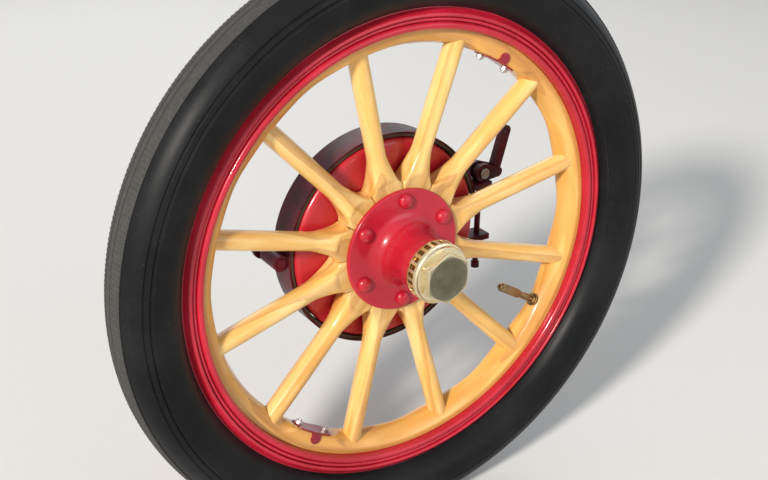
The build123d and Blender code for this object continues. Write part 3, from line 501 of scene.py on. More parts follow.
tyre = {
    "halfWidth": 52.0, "waistRadius": 392.0,
    "lowCentre": 12.0, "lowWidth": 40.0, "lowDepth": 44.2, "lowFrom": -68.0, "lowSamples": 25,  # lower sidewall
    "treadHalf": 23.5, "treadStep": 1.6,        # flat tread band and the step at its edge
    # two shoulder grooves and the soft ridge below them: angle, half width, depth
    "grooves": ((14.0, 1.9, 1.5), (25.5, 1.9, 1.5), (9.0, 5.0, -0.9)),
    "arcScale": 0.125,                          # how much arc a degree counts for, of the waist's radius
    "treadGrooves": (-6.0, 6.0), "treadGrooveHalf": 1.1, "treadGrooveDepth": 1.8,
    "barPitch": 7.0, "barWidth": 3.4, "barFrom": 8.5, "barTo": 22.0, "barHeight": 0.55, "barRoot": 0.6,
    # the beads: y from the felloe's front, radius from the flange, and y from the rim's back, radius
    "frontBead": ((3.0, -21.4), (-0.1, -16.4), (-0.3, -10.0), (-3.5, -2.5)),
    "backBead": ((-5.5, -2.5), (-9.0, -10.0), (-9.3, -17.4), (-12.0, -21.4)),
    # samples of the upper ellipse, and where it is sampled closely: from angle, to angle, samples
    "samples": 61, "fineRanges": ((11.6, 16.4, 17), (23.1, 27.9, 17), (62.6, 63.6, 6), (81.9, 84.9, 25)),
    "segments": 288,
}


# Half of the tyre's section from the flange up to the crown, as (offset from the middle, r). Below the waist it is
# part of an ellipse, and above it another, y = w cos t, r = waist + h sin t, with the tread band lifted off it by
# a step. Grooves and ridges are smooth dips and rises, depth * (1 - d^2)^2 at distance d from each.
def tyreSection():
    height = tyreRadius - tyre["waistRadius"]
    t = np.radians(np.linspace(tyre["lowFrom"], 0, tyre["lowSamples"] + 1)[:-1])
    low = np.stack([tyre["lowCentre"] + tyre["lowWidth"] * np.cos(t),
                    tyre["waistRadius"] + tyre["lowDepth"] * np.sin(t)], -1)
    fine = [np.linspace(*part) for part in tyre["fineRanges"]]
    t = np.unique(np.concatenate([np.linspace(0, 90, tyre["samples"])] + fine))
    c, s = np.cos(np.radians(t)), np.sin(np.radians(t))
    y = tyre["halfWidth"] * c
    r = tyre["waistRadius"] + (height - tyre["treadStep"] * (y > tyre["treadHalf"])) * s
    arc = np.radians(t) * tyre["waistRadius"] * tyre["arcScale"]
    for angle, half, depth in tyre["grooves"]:
        d = np.clip((arc - np.interp(angle, t, arc)) / half, -1, 1)
        dip = depth * (1 - d ** 2) ** 2
        y, r = y - dip * c, r - dip * s
    for middle in tyre["treadGrooves"]:
        d = np.clip((y - middle) / tyre["treadGrooveHalf"], -1, 1)
        r = r - tyre["treadGrooveDepth"] * (1 - d ** 6)
    return np.concatenate([low, np.stack([y, r], -1)])


# The whole section: bead, front half, back half mirrored about the middle plane, bead.
def tyreOutline():
    half = tyreSection()
    front = np.stack([tyreMid - half[:, 0], half[:, 1]], -1)
    back = np.stack([tyreMid + half[:, 0], half[:, 1]], -1)[::-1][1:]
    flange = wheel["flangeRadius"]
    return np.concatenate([np.array(tyre["frontBead"]) + (felloeFront, flange), front, back,
                           np.array(tyre["backBead"]) + (rimBack, flange)])


# Small raised bars across the tread's two outer ribs: one box, repeated round and on both sides.
def treadBars():
    count = round(2 * pi * tyreRadius / tyre["barPitch"])
    height = tyreRadius - tyre["waistRadius"]
    x = np.array([-0.5, -0.35, 0.35, 0.5]) * tyre["barWidth"]
    lift = np.array([-tyre["barRoot"], tyre["barHeight"], tyre["barHeight"], -tyre["barRoot"]])
    bars = []
    for side in (-1, 1):
        y = side * np.linspace(tyre["barFrom"], tyre["barTo"], 4)[:, None]
        top = tyre["waistRadius"] + height * np.sqrt(1 - (y / tyre["halfWidth"]) ** 2)
        bars.append(np.stack(np.broadcast_arrays(x, tyreMid + y, np.minimum(top + lift, tyreRadius)), -1))
    points = np.array([spin(np.array(bars), 360 * i / count) for i in range(count)]).reshape(-1, 16, 3)
    corners = np.array([(a * 4 + b, a * 4 + (b + 1) % 4, a * 4 + 4 + (b + 1) % 4, a * 4 + 4 + b)
                        for a in range(3) for b in range(4)] + [(0, 1, 2, 3), (12, 13, 14, 15)])
    faces = (np.arange(len(points))[:, None, None] * 16 + corners).reshape(-1, 4)
    mesh = bpy.data.meshes.new("treadBars")
    mesh.from_pydata((points.reshape(-1, 3) * mm).tolist(), [], faces.tolist())
    return finishMesh("treadBars", mesh, 30, merge=0.001 * mm)


place(lathe("tyreCasing", tyreOutline(), tyre["segments"]), blackRubber, "tyre_rubber", "tyre")
place(treadBars(), blackRubber, "tyre_rubber")
print("tyre made")


# Rim, side ring and lock ring

rim = {
    "wall": 4.0, "curl": 9.0, "noseDepth": 12.3, "noseRecess": 4.0, "noseTop": 330.0, "noseRound": 4.7,
    "ringSize": 6.3, "ringRound": 2.3, "ringRecess": 2.6, "bead": 3.0, "groove": 0.8, "clear": 0.15,
    "crest": 341.0, "slope": 10.5, "segments": 288,
}


# One closed outline: the seat on the felloe, the inner flange with its curled edge, and the nose in front.
def rimOutline():
    seat, top = wheel["rimSeat"] + 0.02, wheel["rimSeat"] + rim["wall"]
    root = rimBack - rim["curl"]
    flange = wheel["flangeRadius"]
    curlR = flange - rim["curl"]
    front, recess = felloeFront - rim["noseDepth"], felloeFront - rim["noseRecess"]
    return roundedOutline([
        (root, seat, 3.5), (root + rim["wall"], curlR - 4, 3), (rimBack - 2, flange - 3.5, 2),
        (rimBack, flange - 3.5, 0.8), (rimBack, flange, 2.0), (rimBack - 5, flange, 5.0),
        (root, curlR, 6), (root, top, 1), (recess, top, 0.5), (recess, rim["noseTop"], 0.8),
        (front, rim["noseTop"], rim["noseRound"]), (front, seat, rim["noseRound"])], steps=9)


# The lock ring stands back from the rim's nose, with a groove on each side.
def lockRingOutline():
    back = felloeFront - rim["noseRecess"]
    low = rim["noseTop"] + rim["groove"]
    high = rim["noseTop"] + rim["ringSize"] - rim["groove"] / 2
    front = felloeFront - rim["noseDepth"] + rim["ringRecess"]
    edge = rim["ringRound"]
    return roundedOutline([(back, low, 0.5), (back, high, 0.5), (front, high, edge), (front, low, edge)], steps=7)


# The side ring's front slopes back from its crest out to the flange's tip.
def sideRingOutline():
    back = felloeFront - 0.45
    toe = felloeFront - rim["noseRecess"] + rim["clear"]
    foot = wheel["rimSeat"] + rim["wall"] + rim["clear"]
    flange = wheel["flangeRadius"]
    front = back - rim["curl"] - rim["bead"]
    lockTop = rim["noseTop"] + rim["ringSize"] + rim["groove"] / 2
    return roundedOutline([
        (toe, foot, 0.3), (felloeFront + 8, foot, 1), (felloeFront + 6, foot + 2.6, 1),
        (back, foot + 4.0, 3), (back, flange - 2, 1), (back - 2, flange, 1), (front + rim["slope"], flange, 2),
        (front, rim["crest"], 5.0), (front, lockTop, 2.6), (toe, lockTop, 0.4)], steps=9)


for name, outline, node in (("rimBand", rimOutline(), "rim"), ("lockRing", lockRingOutline(), "lock_ring"),
                            ("sideRing", sideRingOutline(), "side_ring")):
    place(lathe(name, outline, rim["segments"]), redEnamel, "red_enamel", node)
print("rim made")


# Felloe

felloe = {
    # the section's corners: axial place behind the front, radial place above the inner radius, rounding
    "section": ((0, 17.0, 6.0), (7.0, 6.5, 12.0), (26.0, 0, 18.0), (33.0, 0, 5.0), (39.0, 7.0, 6.0)),
    # the same at the two joints, where the rail keeps its square corner under the plate
    "jointSection": ((0, 5.0, 2.0), (1.6, 1.6, 3.0), (5.0, 0, 2.0), (33.0, 0, 5.0), (39.0, 7.0, 6.0)),
    "jointFull": 6.5, "jointEnd": 12.2, "softness": 1.4,
    "frontBevel": 9.55, "backBevel": 4.95, "shave": 2.4, "shaveHalfAngle": 11.0, "gap": 0.3, "edge": 0.8,
    "segments": 360, "outerClear": 0.1,
    # name, node, start after the first joint's angle, offset of the grain in metres
    "halves": (("felloeRear", "felloe_half_rear", 0, 0.31), ("felloeFront", "felloe_half_front", 180, 1.27)),
}


# A section from the outer front edge round the inner side to the outer back edge, as (y, r).
def felloeSection(corners):
    high, edge = wheel["rimSeat"] - felloe["outerClear"], felloe["edge"]
    turns = [(felloeFront + y, wheel["felloeInner"] + r, size) for y, r, size in corners]
    return roundedOutline([(felloeFront + edge, high, 0), (felloeFront, high - edge, 0), *turns,
                           (felloeBack, high - edge, 0), (felloeBack - edge, high, 0)], steps=7, closed=False)


# How far the shaved face stands from the square corner at each angle. In the middle of a gap it is bevel + shave,
# and it falls off by rise * (offset / half angle)^2, as a round cutter leaves it on a bent rail.
def shavedDistance(angle, bevel):
    pitch, half = wheel["spokePitch"], radians(felloe["shaveHalfAngle"])
    offset = (angle - wheel["felloeJointAngle"] + pitch / 2) % pitch - pitch / 2
    rise = wheel["felloeInner"] * (1 - cos(half)) / sqrt(2) + felloe["shave"]
    distance = bevel + felloe["shave"] - rise * (offset / felloe["shaveHalfAngle"]) ** 2
    joint = (angle - wheel["felloeJointAngle"] + 90) % 180 - 90
    return np.where(np.abs(joint) < pitch / 2, 0, distance)


# Half of the felloe: the section carried round, with its points moved along the diagonal onto the shaved faces.
# A point's distance d from the square corner becomes the soft maximum of d and the shaved face's distance,
# s log(exp(d / s) + exp(face / s)). Near the joints the section passes smoothly into the square one.
def felloeHalf(name, start, seed):
    gap = np.degrees(felloe["gap"] / 2 / wheel["rimSeat"])
    angle = np.linspace(start + gap, start + 180 - gap, felloe["segments"])
    section, square = felloeSection(felloe["section"]), felloeSection(felloe["jointSection"])
    offset = np.abs((angle - wheel["felloeJointAngle"] + 90) % 180 - 90)
    share = np.clip((felloe["jointEnd"] - offset) / (felloe["jointEnd"] - felloe["jointFull"]), 0, 1)
    share = share ** 2 * (3 - 2 * share)
    y, r = [section[:, k:k + 1] * (1 - share) + square[:, k:k + 1] * share for k in (0, 1)]
    low, size = wheel["felloeInner"], felloe["softness"]
    for edgeY, way, bevel in ((felloeFront, 1, felloe["frontBevel"]), (felloeBack, -1, felloe["backBevel"])):
        d = ((y - edgeY) * way + (r - low)) / sqrt(2)
        face = shavedDistance(angle, bevel)
        soft = size * np.log(np.exp((d - d.min()) / size) + np.exp((face - d.min()) / size)) + d.min()
        move = (soft - d) / sqrt(2)
        y, r = y + move * way, r + move
    a = np.radians(angle)
    grid = polar(y, r, a)
    caps = [np.repeat(grid[:, k:k + 1].mean(0, keepdims=True), len(grid), 0) for k in (0, len(angle) - 1)]
    grid = np.concatenate([caps[0], grid, caps[1]], 1)
    radius = np.hypot(grid[..., 0], grid[..., 2])
    along = np.concatenate([a[:1], a, a[-1:]]) * (low + wheel["rimSeat"]) / 2
    grain = np.stack(np.broadcast_arrays(radius - low, grid[..., 1] - felloeFront, along), -1) * mm + seed
    return gridMesh(name, grid, 28, wrapRows=True, wrapColumns=False, attributes={"grain": grain})


for name, node, start, seed in felloe["halves"]:
    place(felloeHalf(name, wheel["felloeJointAngle"] + start, seed), felloeWood, "varnished_wood", node)
print("felloe made")


# Spokes

spoke = {
    "throat": 98.0, "throatEnd": 150.0, "throatRun": 10.0,
    # columns: radius, half width in the wheel's plane, half depth along the axle
    "shaft": ((80, 40.0, 29.0), (98, 31.0, 25.0), (112, 24.3, 20.6), (130, 17.2, 17.5), (150, 13.3, 15.7),
              (180, 13.3, 15.7), (210, 13.6, 15.8), (250, 13.7, 15.7), (311, 13.5, 15.5)),
    "planHalf": 14.4, "planPower": 2.35, "planSpread": 0.02,    # the throat's curve in the wheel's plane
    "freeFrom": 8.0, "freeRun": 30.0, "freeLift": 8.0,          # where the butt's flat faces leave the shaft
    "buttSharpness": 26.0, "throatSharpness": 11.0, "jointGap": 0.05, "coreClear": 0.15,
    "tenon": 8.0, "tenonLength": 17.0, "columns": 128, "buttRows": 14, "throatRows": 63, "shaftRows": 30,
    "stretchFrom": 262.0, "count": 12, "firstSeed": 40, "grainOffset": 0.2, "grainSpread": (0.5, 6.0),
}


# Smooth curve through a few (x, y) points, by cubic pieces that stay level at a peak or on a flat.
def smoothCurve(x, xs, ys):
    step = np.diff(xs)
    slope = np.diff(ys) / step
    tangent = np.concatenate([slope[:1], (slope[1:] + slope[:-1]) / 2, slope[-1:]])
    tangent[1:-1][slope[1:] * slope[:-1] <= 0] = 0
    k = np.clip(np.searchsorted(xs, x) - 1, 0, len(step) - 1)
    t = (x - xs[k]) / step[k]
    return ((2 * t ** 3 - 3 * t ** 2 + 1) * ys[k] + (t ** 3 - 2 * t ** 2 + t) * step[k] * tangent[k]
            + (3 * t ** 2 - 2 * t ** 3) * ys[k + 1] + (t ** 3 - t ** 2) * step[k] * tangent[k + 1])


# Half widths in the wheel's plane: a wedge up to the throat, then f = (1 - (1 - u)^p)^(1/2) from the wedge's end
# to the shaft, and a slight spread beyond.
def spokePlan(z):
    gap, throat, end, half = [spoke[key] for key in ("jointGap", "throat", "throatEnd", "planHalf")]
    spread = tan(radians(wheel["spokePitch"] / 2))
    fall = np.clip((z - throat) / (end - throat), 0, 1)
    curve = half + (throat * spread - gap - half) * (1 - np.sqrt(1 - (1 - fall) ** spoke["planPower"]))
    plan = np.where(z <= throat, z * spread - gap, curve)
    return np.where(z > end, half + (z - end) * spoke["planSpread"], plan)


# One spoke along +Z. At each radius its section is the smallest of three shapes round its centre: the oval
# of the shaft, the plan's two sides and the butt's two flat faces. The three are blended by
# r = (sum of r_i^-p)^(-1/p), which leaves a narrow rounded crease where they meet.
def spokeGrid():
    inner = wheel["coreRadius"] + spoke["coreClear"]
    outer = wheel["felloeInner"] - 0.05
    throat, runOut = spoke["throat"], spoke["throatEnd"] + spoke["throatRun"]
    z = np.concatenate([np.linspace(inner, throat, spoke["buttRows"])[:-1],
                        np.linspace(throat, runOut, spoke["throatRows"])[:-1],
                        np.linspace(runOut, outer, spoke["shaftRows"])])
    radii, widths, depths = np.array(spoke["shaft"], float).T
    buttMid = (wheel["buttFront"] + wheel["buttBack"]) / 2
    beyond = z - throat
    middle = (buttMid + (felloeMid - buttMid) / (wheel["felloeInner"] - throat) * np.clip(beyond, 0, None))[:, None]
    free = np.clip((beyond - spoke["freeFrom"]) / spoke["freeRun"], 0, 1)[:, None]
    angle = fullTurn(spoke["columns"]) + pi / spoke["columns"]
    c, s = np.abs(np.cos(angle)) + 1e-9, np.abs(np.sin(angle)) + 1e-9
    oval = 1 / np.sqrt((c / smoothCurve(z, radii, widths)[:, None]) ** 2
                       + (s / smoothCurve(z, radii, depths)[:, None]) ** 2)
    side = spokePlan(z)[:, None] / c
    face = ((wheel["buttBack"] - wheel["buttFront"]) / 2 + free * spoke["freeLift"]) / s
    p = spoke["buttSharpness"] + (spoke["throatSharpness"] - spoke["buttSharpness"]) * free
    radius = (oval ** -p + side ** -p + face ** -p) ** (-1 / p)
    grid = np.stack(np.broadcast_arrays(radius * np.cos(angle), middle + radius * np.sin(angle), z[:, None]), -1)
    # the butt's inner end is hollow to the barrel, and the outer end carries the tenon
    grid[0, :, 2] = np.sqrt(np.clip(inner ** 2 - grid[0, :, 0] ** 2, 0, None))
    tipTop = wheel["felloeInner"] + spoke["tenonLength"]
    tip = [np.stack([size * np.cos(angle), middle[-1] + size * np.sin(angle), np.full(len(angle), level)], -1)
           for size, level in ((spoke["tenon"], outer), (spoke["tenon"], tipTop), (0.0, tipTop))]
    # the outer end is drawn out to the felloe's rounded section, z = sqrt(r(y)^2 - x^2) for each column
    inside = felloeSection(felloe["section"])[2:-2]
    reach = np.interp(grid[-1, :, 1], inside[:, 0], inside[:, 1]) - 0.05
    endZ = np.sqrt(reach ** 2 - grid[-1, :, 0] ** 2)
    stretch = spoke["stretchFrom"]
    share = np.clip((grid[..., 2] - stretch) / (grid[-1, :, 2] - stretch), 0, None)
    grid[..., 2] = np.where(share > 0, stretch + share * (endZ - stretch), grid[..., 2])
    root = np.repeat(grid[:1].mean(1, keepdims=True), len(angle), 1)
    return np.concatenate([root, grid, np.array(tip)])


baseSpoke = spokeGrid()
for number in range(spoke["count"]):
    angle = wheel["spokePhase"] + number * wheel["spokePitch"]
    random = np.random.default_rng(spoke["firstSeed"] + number)
    tilt = random.uniform(0, 2 * pi)
    x, y, z = np.moveaxis(baseSpoke * mm, -1, 0)
    y = y + spoke["grainOffset"]
    grain = np.stack([x * cos(tilt) - y * sin(tilt), x * sin(tilt) + y * cos(tilt), z], -1)
    grain = grain + random.uniform(*spoke["grainSpread"], 3)
    piece = gridMesh(f"spoke{number + 1:02d}", spin(baseSpoke, angle), 32, attributes={"grain": grain})
    place(piece, varnishedWood, "varnished_wood", f"spoke_{number + 1:02d}")
print("spokes made")


# Hub, bolts and clamp ring

hub = {
    "bore": 19.05, "barrel": 38.0, "flange": 91.7, "flangeThickness": 5.5, "edge": 2.2, "noseRadius": 35.5,
    "curveLength": 35.0, "curveRise": 26.0, "curvePulls": (0.36, 0.82), "innerReach": 112.0, "segments": 224,
    "bolts": 6, "boltCircle": 75.5, "boltPhase": 0.6, "headRadius": 11.0, "headHeight": 9.0, "headSide": 1.6,
    "shank": 5.5, "shankEnd": 3.0, "boltSegments": 40, "nutFlat": 8.5, "nutHeight": 8.0,
    "clampRadius": 85.0, "clampThickness": 6.0,
}
hubFace = wheel["buttFront"] - hub["flangeThickness"]
clampFront = drumFront + wheel["drumWall"]
clampBack = clampFront + hub["clampThickness"]


# The hollow curve leaves the barrel along the axis and meets the flange square to it. Its two ends are pulled
# by a share of the length and of the rise: a = u^3 + 3 u^2 (1 - u) + 3 p u (1 - u)^2 along the axis, and
# b = u^3 + 3 (1 - q) u^2 (1 - u) outwards.
def hubOutline():
    end = wheel["facePlane"] + hub["innerReach"]
    nose = span("hub")[0]
    length, rise, barrel, butt = hub["curveLength"], hub["curveRise"], hub["barrel"], wheel["buttFront"]
    alongPull, risePull = hub["curvePulls"]
    u = np.linspace(0, 1, 40)
    along = u ** 3 + 3 * u ** 2 * (1 - u) + 3 * alongPull * u * (1 - u) ** 2
    out = u ** 3 + 3 * (1 - risePull) * u ** 2 * (1 - u)
    curve = np.stack([hubFace - length * (1 - along), barrel + rise * out], -1)
    before = roundedOutline([
        (nose, hub["bore"], 0), (nose, hub["noseRadius"], 1), (capRear, hub["noseRadius"], 0),
        (capRear, barrel, 0.6), (hubFace - length - 0.5, barrel, 0)], closed=False)
    after = roundedOutline([
        (hubFace, barrel + rise + 1, 0), (hubFace, hub["flange"], hub["edge"]), (butt, hub["flange"], 0.5),
        (butt, wheel["coreRadius"], 0), (end, wheel["coreRadius"], 1), (end, hub["bore"], 0)], closed=False)
    return np.concatenate([before, curve, after])


# The bolts, each a domed head, a shank and a thread, and their nuts, on the bolt circle.
def hubBolts():
    t = np.radians(np.linspace(0, 90, 13))
    head, side, shank = hub["headRadius"], hub["headSide"], hub["shank"]
    dome = np.stack([hubFace - side - (hub["headHeight"] - side) * np.cos(t), head * np.sin(t)], -1)
    end = clampBack + hub["nutHeight"] + hub["shankEnd"]
    outline = np.concatenate([dome, [(hubFace - 0.5, head - 0.1), (hubFace, head - 0.6), (hubFace, shank),
                                     (end - 0.8, shank), (end, shank - 0.8), (end, 0)]])
    bolt = polar(outline[:, :1], outline[:, 1:], fullTurn(hub["boltSegments"]))
    nut = prismGrid(polygonOutline(6, hub["nutFlat"], hub["nutFlat"] * 1.12, 48), clampBack,
                    clampBack + hub["nutHeight"], 0.7)
    angles = radians(hub["boltPhase"]) + fullTurn(hub["bolts"])
    centres = [polar(0.0, hub["boltCircle"], a) for a in angles]
    return (joined("hubBolts", [bolt + centre for centre in centres], 35),
            joined("hubNuts", [nut + centre for centre in centres], 30))


place(lathe("hubBarrel", hubOutline(), hub["segments"]), redEnamel, "red_enamel", "hub")
bolts, nuts = hubBolts()
place(bolts, redEnamel, "red_enamel", "hub_bolts")
place(nuts, bareSteel, "bare_steel")
clampOutline = roundedOutline([
    (clampFront, wheel["drumBore"], 0.3), (clampFront, hub["clampRadius"], 1.2),
    (clampBack, hub["clampRadius"], 1.2), (clampBack, wheel["drumBore"], 0.3)], steps=4)
place(lathe("hubClampRing", clampOutline, 160, 40), shadeDarkenedBrakePaint, "dark_red_paint", "hub_inner_flange")
print("hub made")


# Hub cap

cap = {
    "base": 43.8, "baseLength": 19.0, "lipLength": 5.0, "lip": 40.7, "hexFlat": 33.0, "hexCorner": 37.6,
    "faceRadius": 31.0, "drop": 2.0, "edge": 0.7, "baseEdge": 1.2, "points": 864, "hexPoints": 360, "turn": 30.0,
    "slots": 24, "slotHalf": 3.0, "slotDepth": 2.0, "slotMargin": 3.5, "slotBlend": 0.35,
    # the round face from its hidden back: share of its radius, depth of its dish
    "dish": ((0.0, 5.0), (1.0, 5.0), (1.0, 0.02), (0.985, 0.12), (0.97, 0.30), (0.7, 0.34), (0.4, 0.30), (0.0, 0.28)),
}
capLip = capRear - cap["baseLength"]
capStep = capLip - cap["lipLength"]


# The cap's base: a turned ring with milled slots. r = base - depth where both the angle and y lie in a slot. Also
# gives the share of slot at each point, which the brass darkens as painted shade.
def capBase():
    angle = fullTurn(cap["points"])
    base, lip, edge = cap["base"], cap["lip"], cap["baseEdge"]
    slotFrom, slotTo = capLip + cap["slotMargin"], capRear - cap["slotMargin"]
    outline = np.array([
        (capRear, 35.7), (capRear, base - edge), (capRear - 0.35, base - 0.35), (capRear - edge, base),
        (slotTo + 0.01, base), (slotTo - 0.3, base), ((slotFrom + slotTo) / 2, base), (slotFrom + 0.3, base),
        (slotFrom - 0.01, base), (capLip + edge, base), (capLip + 0.35, base - 0.35), (capLip, base - edge),
        (capLip - 0.2, lip + 1.4), (capLip - 0.9, lip + 0.7), (capStep + edge, lip),
        (capStep + 0.3, lip - 0.4), (capStep, lip - 1.3), (capStep - 0.1, cap["hexFlat"] - 6)])
    y, r = outline[:, :1], outline[:, 1:]
    arc = (angle * base) % (2 * pi * base / cap["slots"]) - pi * base / cap["slots"]
    across = np.clip((cap["slotHalf"] + cap["slotBlend"] - np.abs(arc)) / cap["slotBlend"], 0, 1)
    slot = across * ((y < slotTo) & (y > slotFrom))
    return polar(y, r - cap["slotDepth"] * slot, angle), slot


# The cap's hexagon: its sides, a narrow rounded edge and a shallow cone in to the round face. The cone drops by
# drop * (r - face radius) / (corner + 1 - face radius). Also gives the share of painted dark reflection at each
# point.
def capHexagon():
    shape = polygonOutline(6, cap["hexFlat"], cap["hexCorner"], cap["hexPoints"], cap["turn"])
    reach = np.hypot(*shape.T)[:, None]
    inner, edge = cap["faceRadius"], cap["edge"]

    def coneY(r):
        return capFace + cap["drop"] * (r - inner) / (cap["hexCorner"] + 1 - inner)

    top = coneY(reach)
    level, disc = 0 * top, 0 * reach + inner
    rows, dull = [], []
    # radius, place along the axle, share of painted dark reflection
    for r, y, share in ((reach, capStep + 0.3 + level, 0.0), (reach, top + edge, 0.0),
                        (reach - edge * 0.3, top + edge * 0.35, 0.0), (reach - edge, coneY(reach - edge), 0.0),
                        (reach - 2 * edge, coneY(reach - 2 * edge), 0.35),
                        ((reach + inner) / 2 - edge, coneY((reach + inner) / 2 - edge), 0.55),
                        (disc, capFace + 0.05 + level, 0.75),
                        (disc - 1.5 * edge, capFace + 0.03 + level, 0.95),
                        (disc - 3 * edge, capFace + 0.02 + level, 1.0)):
        ring = shape * r / reach
        rows.append(np.column_stack([ring[:, 0], y[:, 0], ring[:, 1]]))
        dull.append(np.full(len(shape), share))
    return np.array(rows), np.array(dull)


baseGrid, slotShare = capBase()
hexGrid, faceShare = capHexagon()
dish = np.array(cap["dish"])
faceRadii = (cap["faceRadius"] - 3 * cap["edge"]) * dish[:, :1]
faceGrid = polar(capFace + dish[:, 1:], faceRadii, fullTurn(cap["hexPoints"]))
capBasePiece = gridMesh("capBase", baseGrid, 35, wrapRows=True, attributes={"slot": slotShare})
place(capBasePiece, slottedBrass, "brass", "hub_cap")
capHexPiece = gridMesh("capHexagon", hexGrid, 24, wrapRows=True, attributes={"face": faceShare})
place(capHexPiece, edgedBrass, "brass")
place(gridMesh("capFace", faceGrid, 60), darkReflectionBrass, "brass")
print("hub cap made")


# Brake drum

drum = {"radius": 152.4, "corner": 9.0, "edge": 0.8, "boreEdge": 0.3, "segments": 256}


# A pan: the front wall, a round corner and the side wall, all one thickness.
def drumOutline():
    wall, bore, edge = wheel["drumWall"], wheel["drumBore"], drum["edge"]
    return roundedOutline([
        (drumFront, bore, drum["boreEdge"]), (drumFront, drum["radius"], drum["corner"]),
        (drumBack, drum["radius"], edge), (drumBack, drum["radius"] - wall, edge),
        (drumFront + wall, drum["radius"] - wall, drum["corner"] - wall),
        (drumFront + wall, bore, drum["boreEdge"])], steps=10)


place(lathe("brakeDrum", drumOutline(), drum["segments"]), drumEnamel, "red_enamel", "brake_drum")
print("drum made")


# Valve stem

valve = {"angle": 120.6, "stem": 5.0, "length": 80.0, "nut": 9.0, "nutHeight": 5.6, "cap": 6.6, "capLength": 46.0,
         "knurl": 0.22, "knurls": 32, "clear": 0.3}


# A turned part on the valve's own axis: outline columns are (radius from the wheel's axis, radius of the part).
def onValveAxis(outline, segments, knurl=0.0):
    angle = fullTurn(segments)
    level, r = np.array(outline)[:, :1], np.array(outline)[:, 1:]
    r = r + np.where(r > valve["cap"] - 0.1, knurl * np.cos(angle * valve["knurls"]), 0)
    grid = np.stack(np.broadcast_arrays(r * np.cos(angle), felloeMid + r * np.sin(angle), level), -1)
    return spin(grid, valve["angle"])


# The stem with its collar, the knurled dust cap, the hexagon nut and the round washer: name, grid, sharp angle.
def valveParts():
    base = wheel["felloeInner"]
    tip = base - valve["length"]
    top = tip + valve["capLength"]
    stem, cover, nut = valve["stem"], valve["cap"], valve["nut"]
    seat = base - valve["clear"]
    stemOutline = (
        (top - 2, 0), (top - 2, 3.6), (top + 1, 3.6), (top + 1.4, stem - 0.4), (top + 2, stem), (base - 22, stem),
        (base - 20, stem + 0.6), (base - 12, stem + 0.6), (base - 10, stem), (base + 20, stem), (base + 20, 0))
    coverOutline = (
        (tip, 0), (tip, 3.4), (tip + 1.0, 4.4), (tip + 4.0, 4.6), (tip + 4.6, cover - 0.4), (tip + 5.2, cover),
        (top - 1.6, cover), (top - 0.8, cover - 0.5), (top, cover - 1.0), (top, 0))
    hexagon = polygonOutline(6, nut * 0.87, nut * 0.97, 48)
    disc = polygonOutline(36, nut + 1.4, 40, 72)
    return (
        ("valveStem", onValveAxis(stemOutline, 40), 35),
        ("valveCap", onValveAxis(coverOutline, 192, valve["knurl"]), 50),
        ("valveNut", underFelloe(prismGrid(hexagon, seat - valve["nutHeight"], seat - 1.6, 0.6), valve["angle"]), 30),
        ("valveWasher", underFelloe(prismGrid(disc, seat - 1.6, seat, 0.4), valve["angle"]), 30))


for name, grid, sharp in valveParts():
    nodes = ("valve_stem",) if name == "valveStem" else ()
    place(gridMesh(name, grid, sharp), oldBrass, "brass", *nodes)
print("valve made")


# Felloe plates

plates = {"boltOffset": 4.95, "nutFlat": 5.5, "nutHeight": 5.0, "threadRadius": 2.8, "threadEnd": 2.2,
          "standOff": 2.0, "strapFront": 4.0, "strapBack": 32.0, "strapHalf": 31.0, "corner": 6.0,
          "tongueTip": 10.5, "tongueHalf": 8.0, "thickness": 1.8, "clear": 0.1}


# A plate: a strap under the felloe's joint with a round tongue bent up its face. At each place along the section it
# reaches half a width each way, and the section's own normal gives its thickness. The strap's corners and the
# tongue's tip are round, half = flat + sqrt(R^2 - d^2).
def plateGrid(jointAngle):
    section = felloeSection(felloe["jointSection"])[1:-1]
    length = np.concatenate([[0], np.cumsum(np.hypot(*np.diff(section, axis=0).T))])
    strapFrom, strapTo = np.interp((plates["strapFront"], plates["strapBack"]), section[:, 0] - felloeFront, length)
    tip, size, corner = plates["tongueTip"], plates["tongueHalf"], plates["corner"]
    along = np.concatenate([tip + size * (1 - np.cos(np.linspace(0, pi / 2, 12))),
                            np.linspace(tip + size, strapFrom, 6)[1:],
                            strapFrom + np.linspace(0.02, 1, 9) ** 2 * corner,
                            np.linspace(strapFrom + corner, strapTo - corner, 14)[1:-1],
                            strapTo - np.linspace(1, 0, 9) ** 2 * corner])
    y, r = [np.interp(along, length, section[:, k]) for k in (0, 1)]
    away = np.stack([np.gradient(r, along), -np.gradient(y, along)], -1)
    away /= np.hypot(*away.T)[:, None]
    tongue = np.sqrt(np.clip(size ** 2 - np.clip(tip + size - along, 0, None) ** 2, 0, None))
    inside = np.clip(np.minimum(along - strapFrom, strapTo - along), 0, corner)
    strap = plates["strapHalf"] - corner + np.sqrt(np.clip(corner ** 2 - (corner - inside) ** 2, 0, None))
    half = np.where(along > strapFrom, strap, tongue)[:, None]
    # round the plate's own section: share of the half width, share of the thickness
    across = np.concatenate([[-1, -1, -0.985], np.linspace(-0.9, 0.9, 15), [0.985, 1, 1], [0.5, 0, -0.5]])
    lift = np.concatenate([[0, 0.7, 1], np.ones(15), [1, 0.7, 0], np.zeros(3)])
    lift = lift * plates["thickness"] + plates["clear"]
    grid = polar(y[:, None] + away[:, :1] * lift, r[:, None] + away[:, 1:] * lift,
                 half * across / wheel["felloeInner"])
    ends = [np.repeat(grid[i:i + 1].mean(1, keepdims=True), grid.shape[1], 1) for i in (0, len(grid) - 1)]
    return spin(np.concatenate([ends[0], grid, ends[1]]), jointAngle)


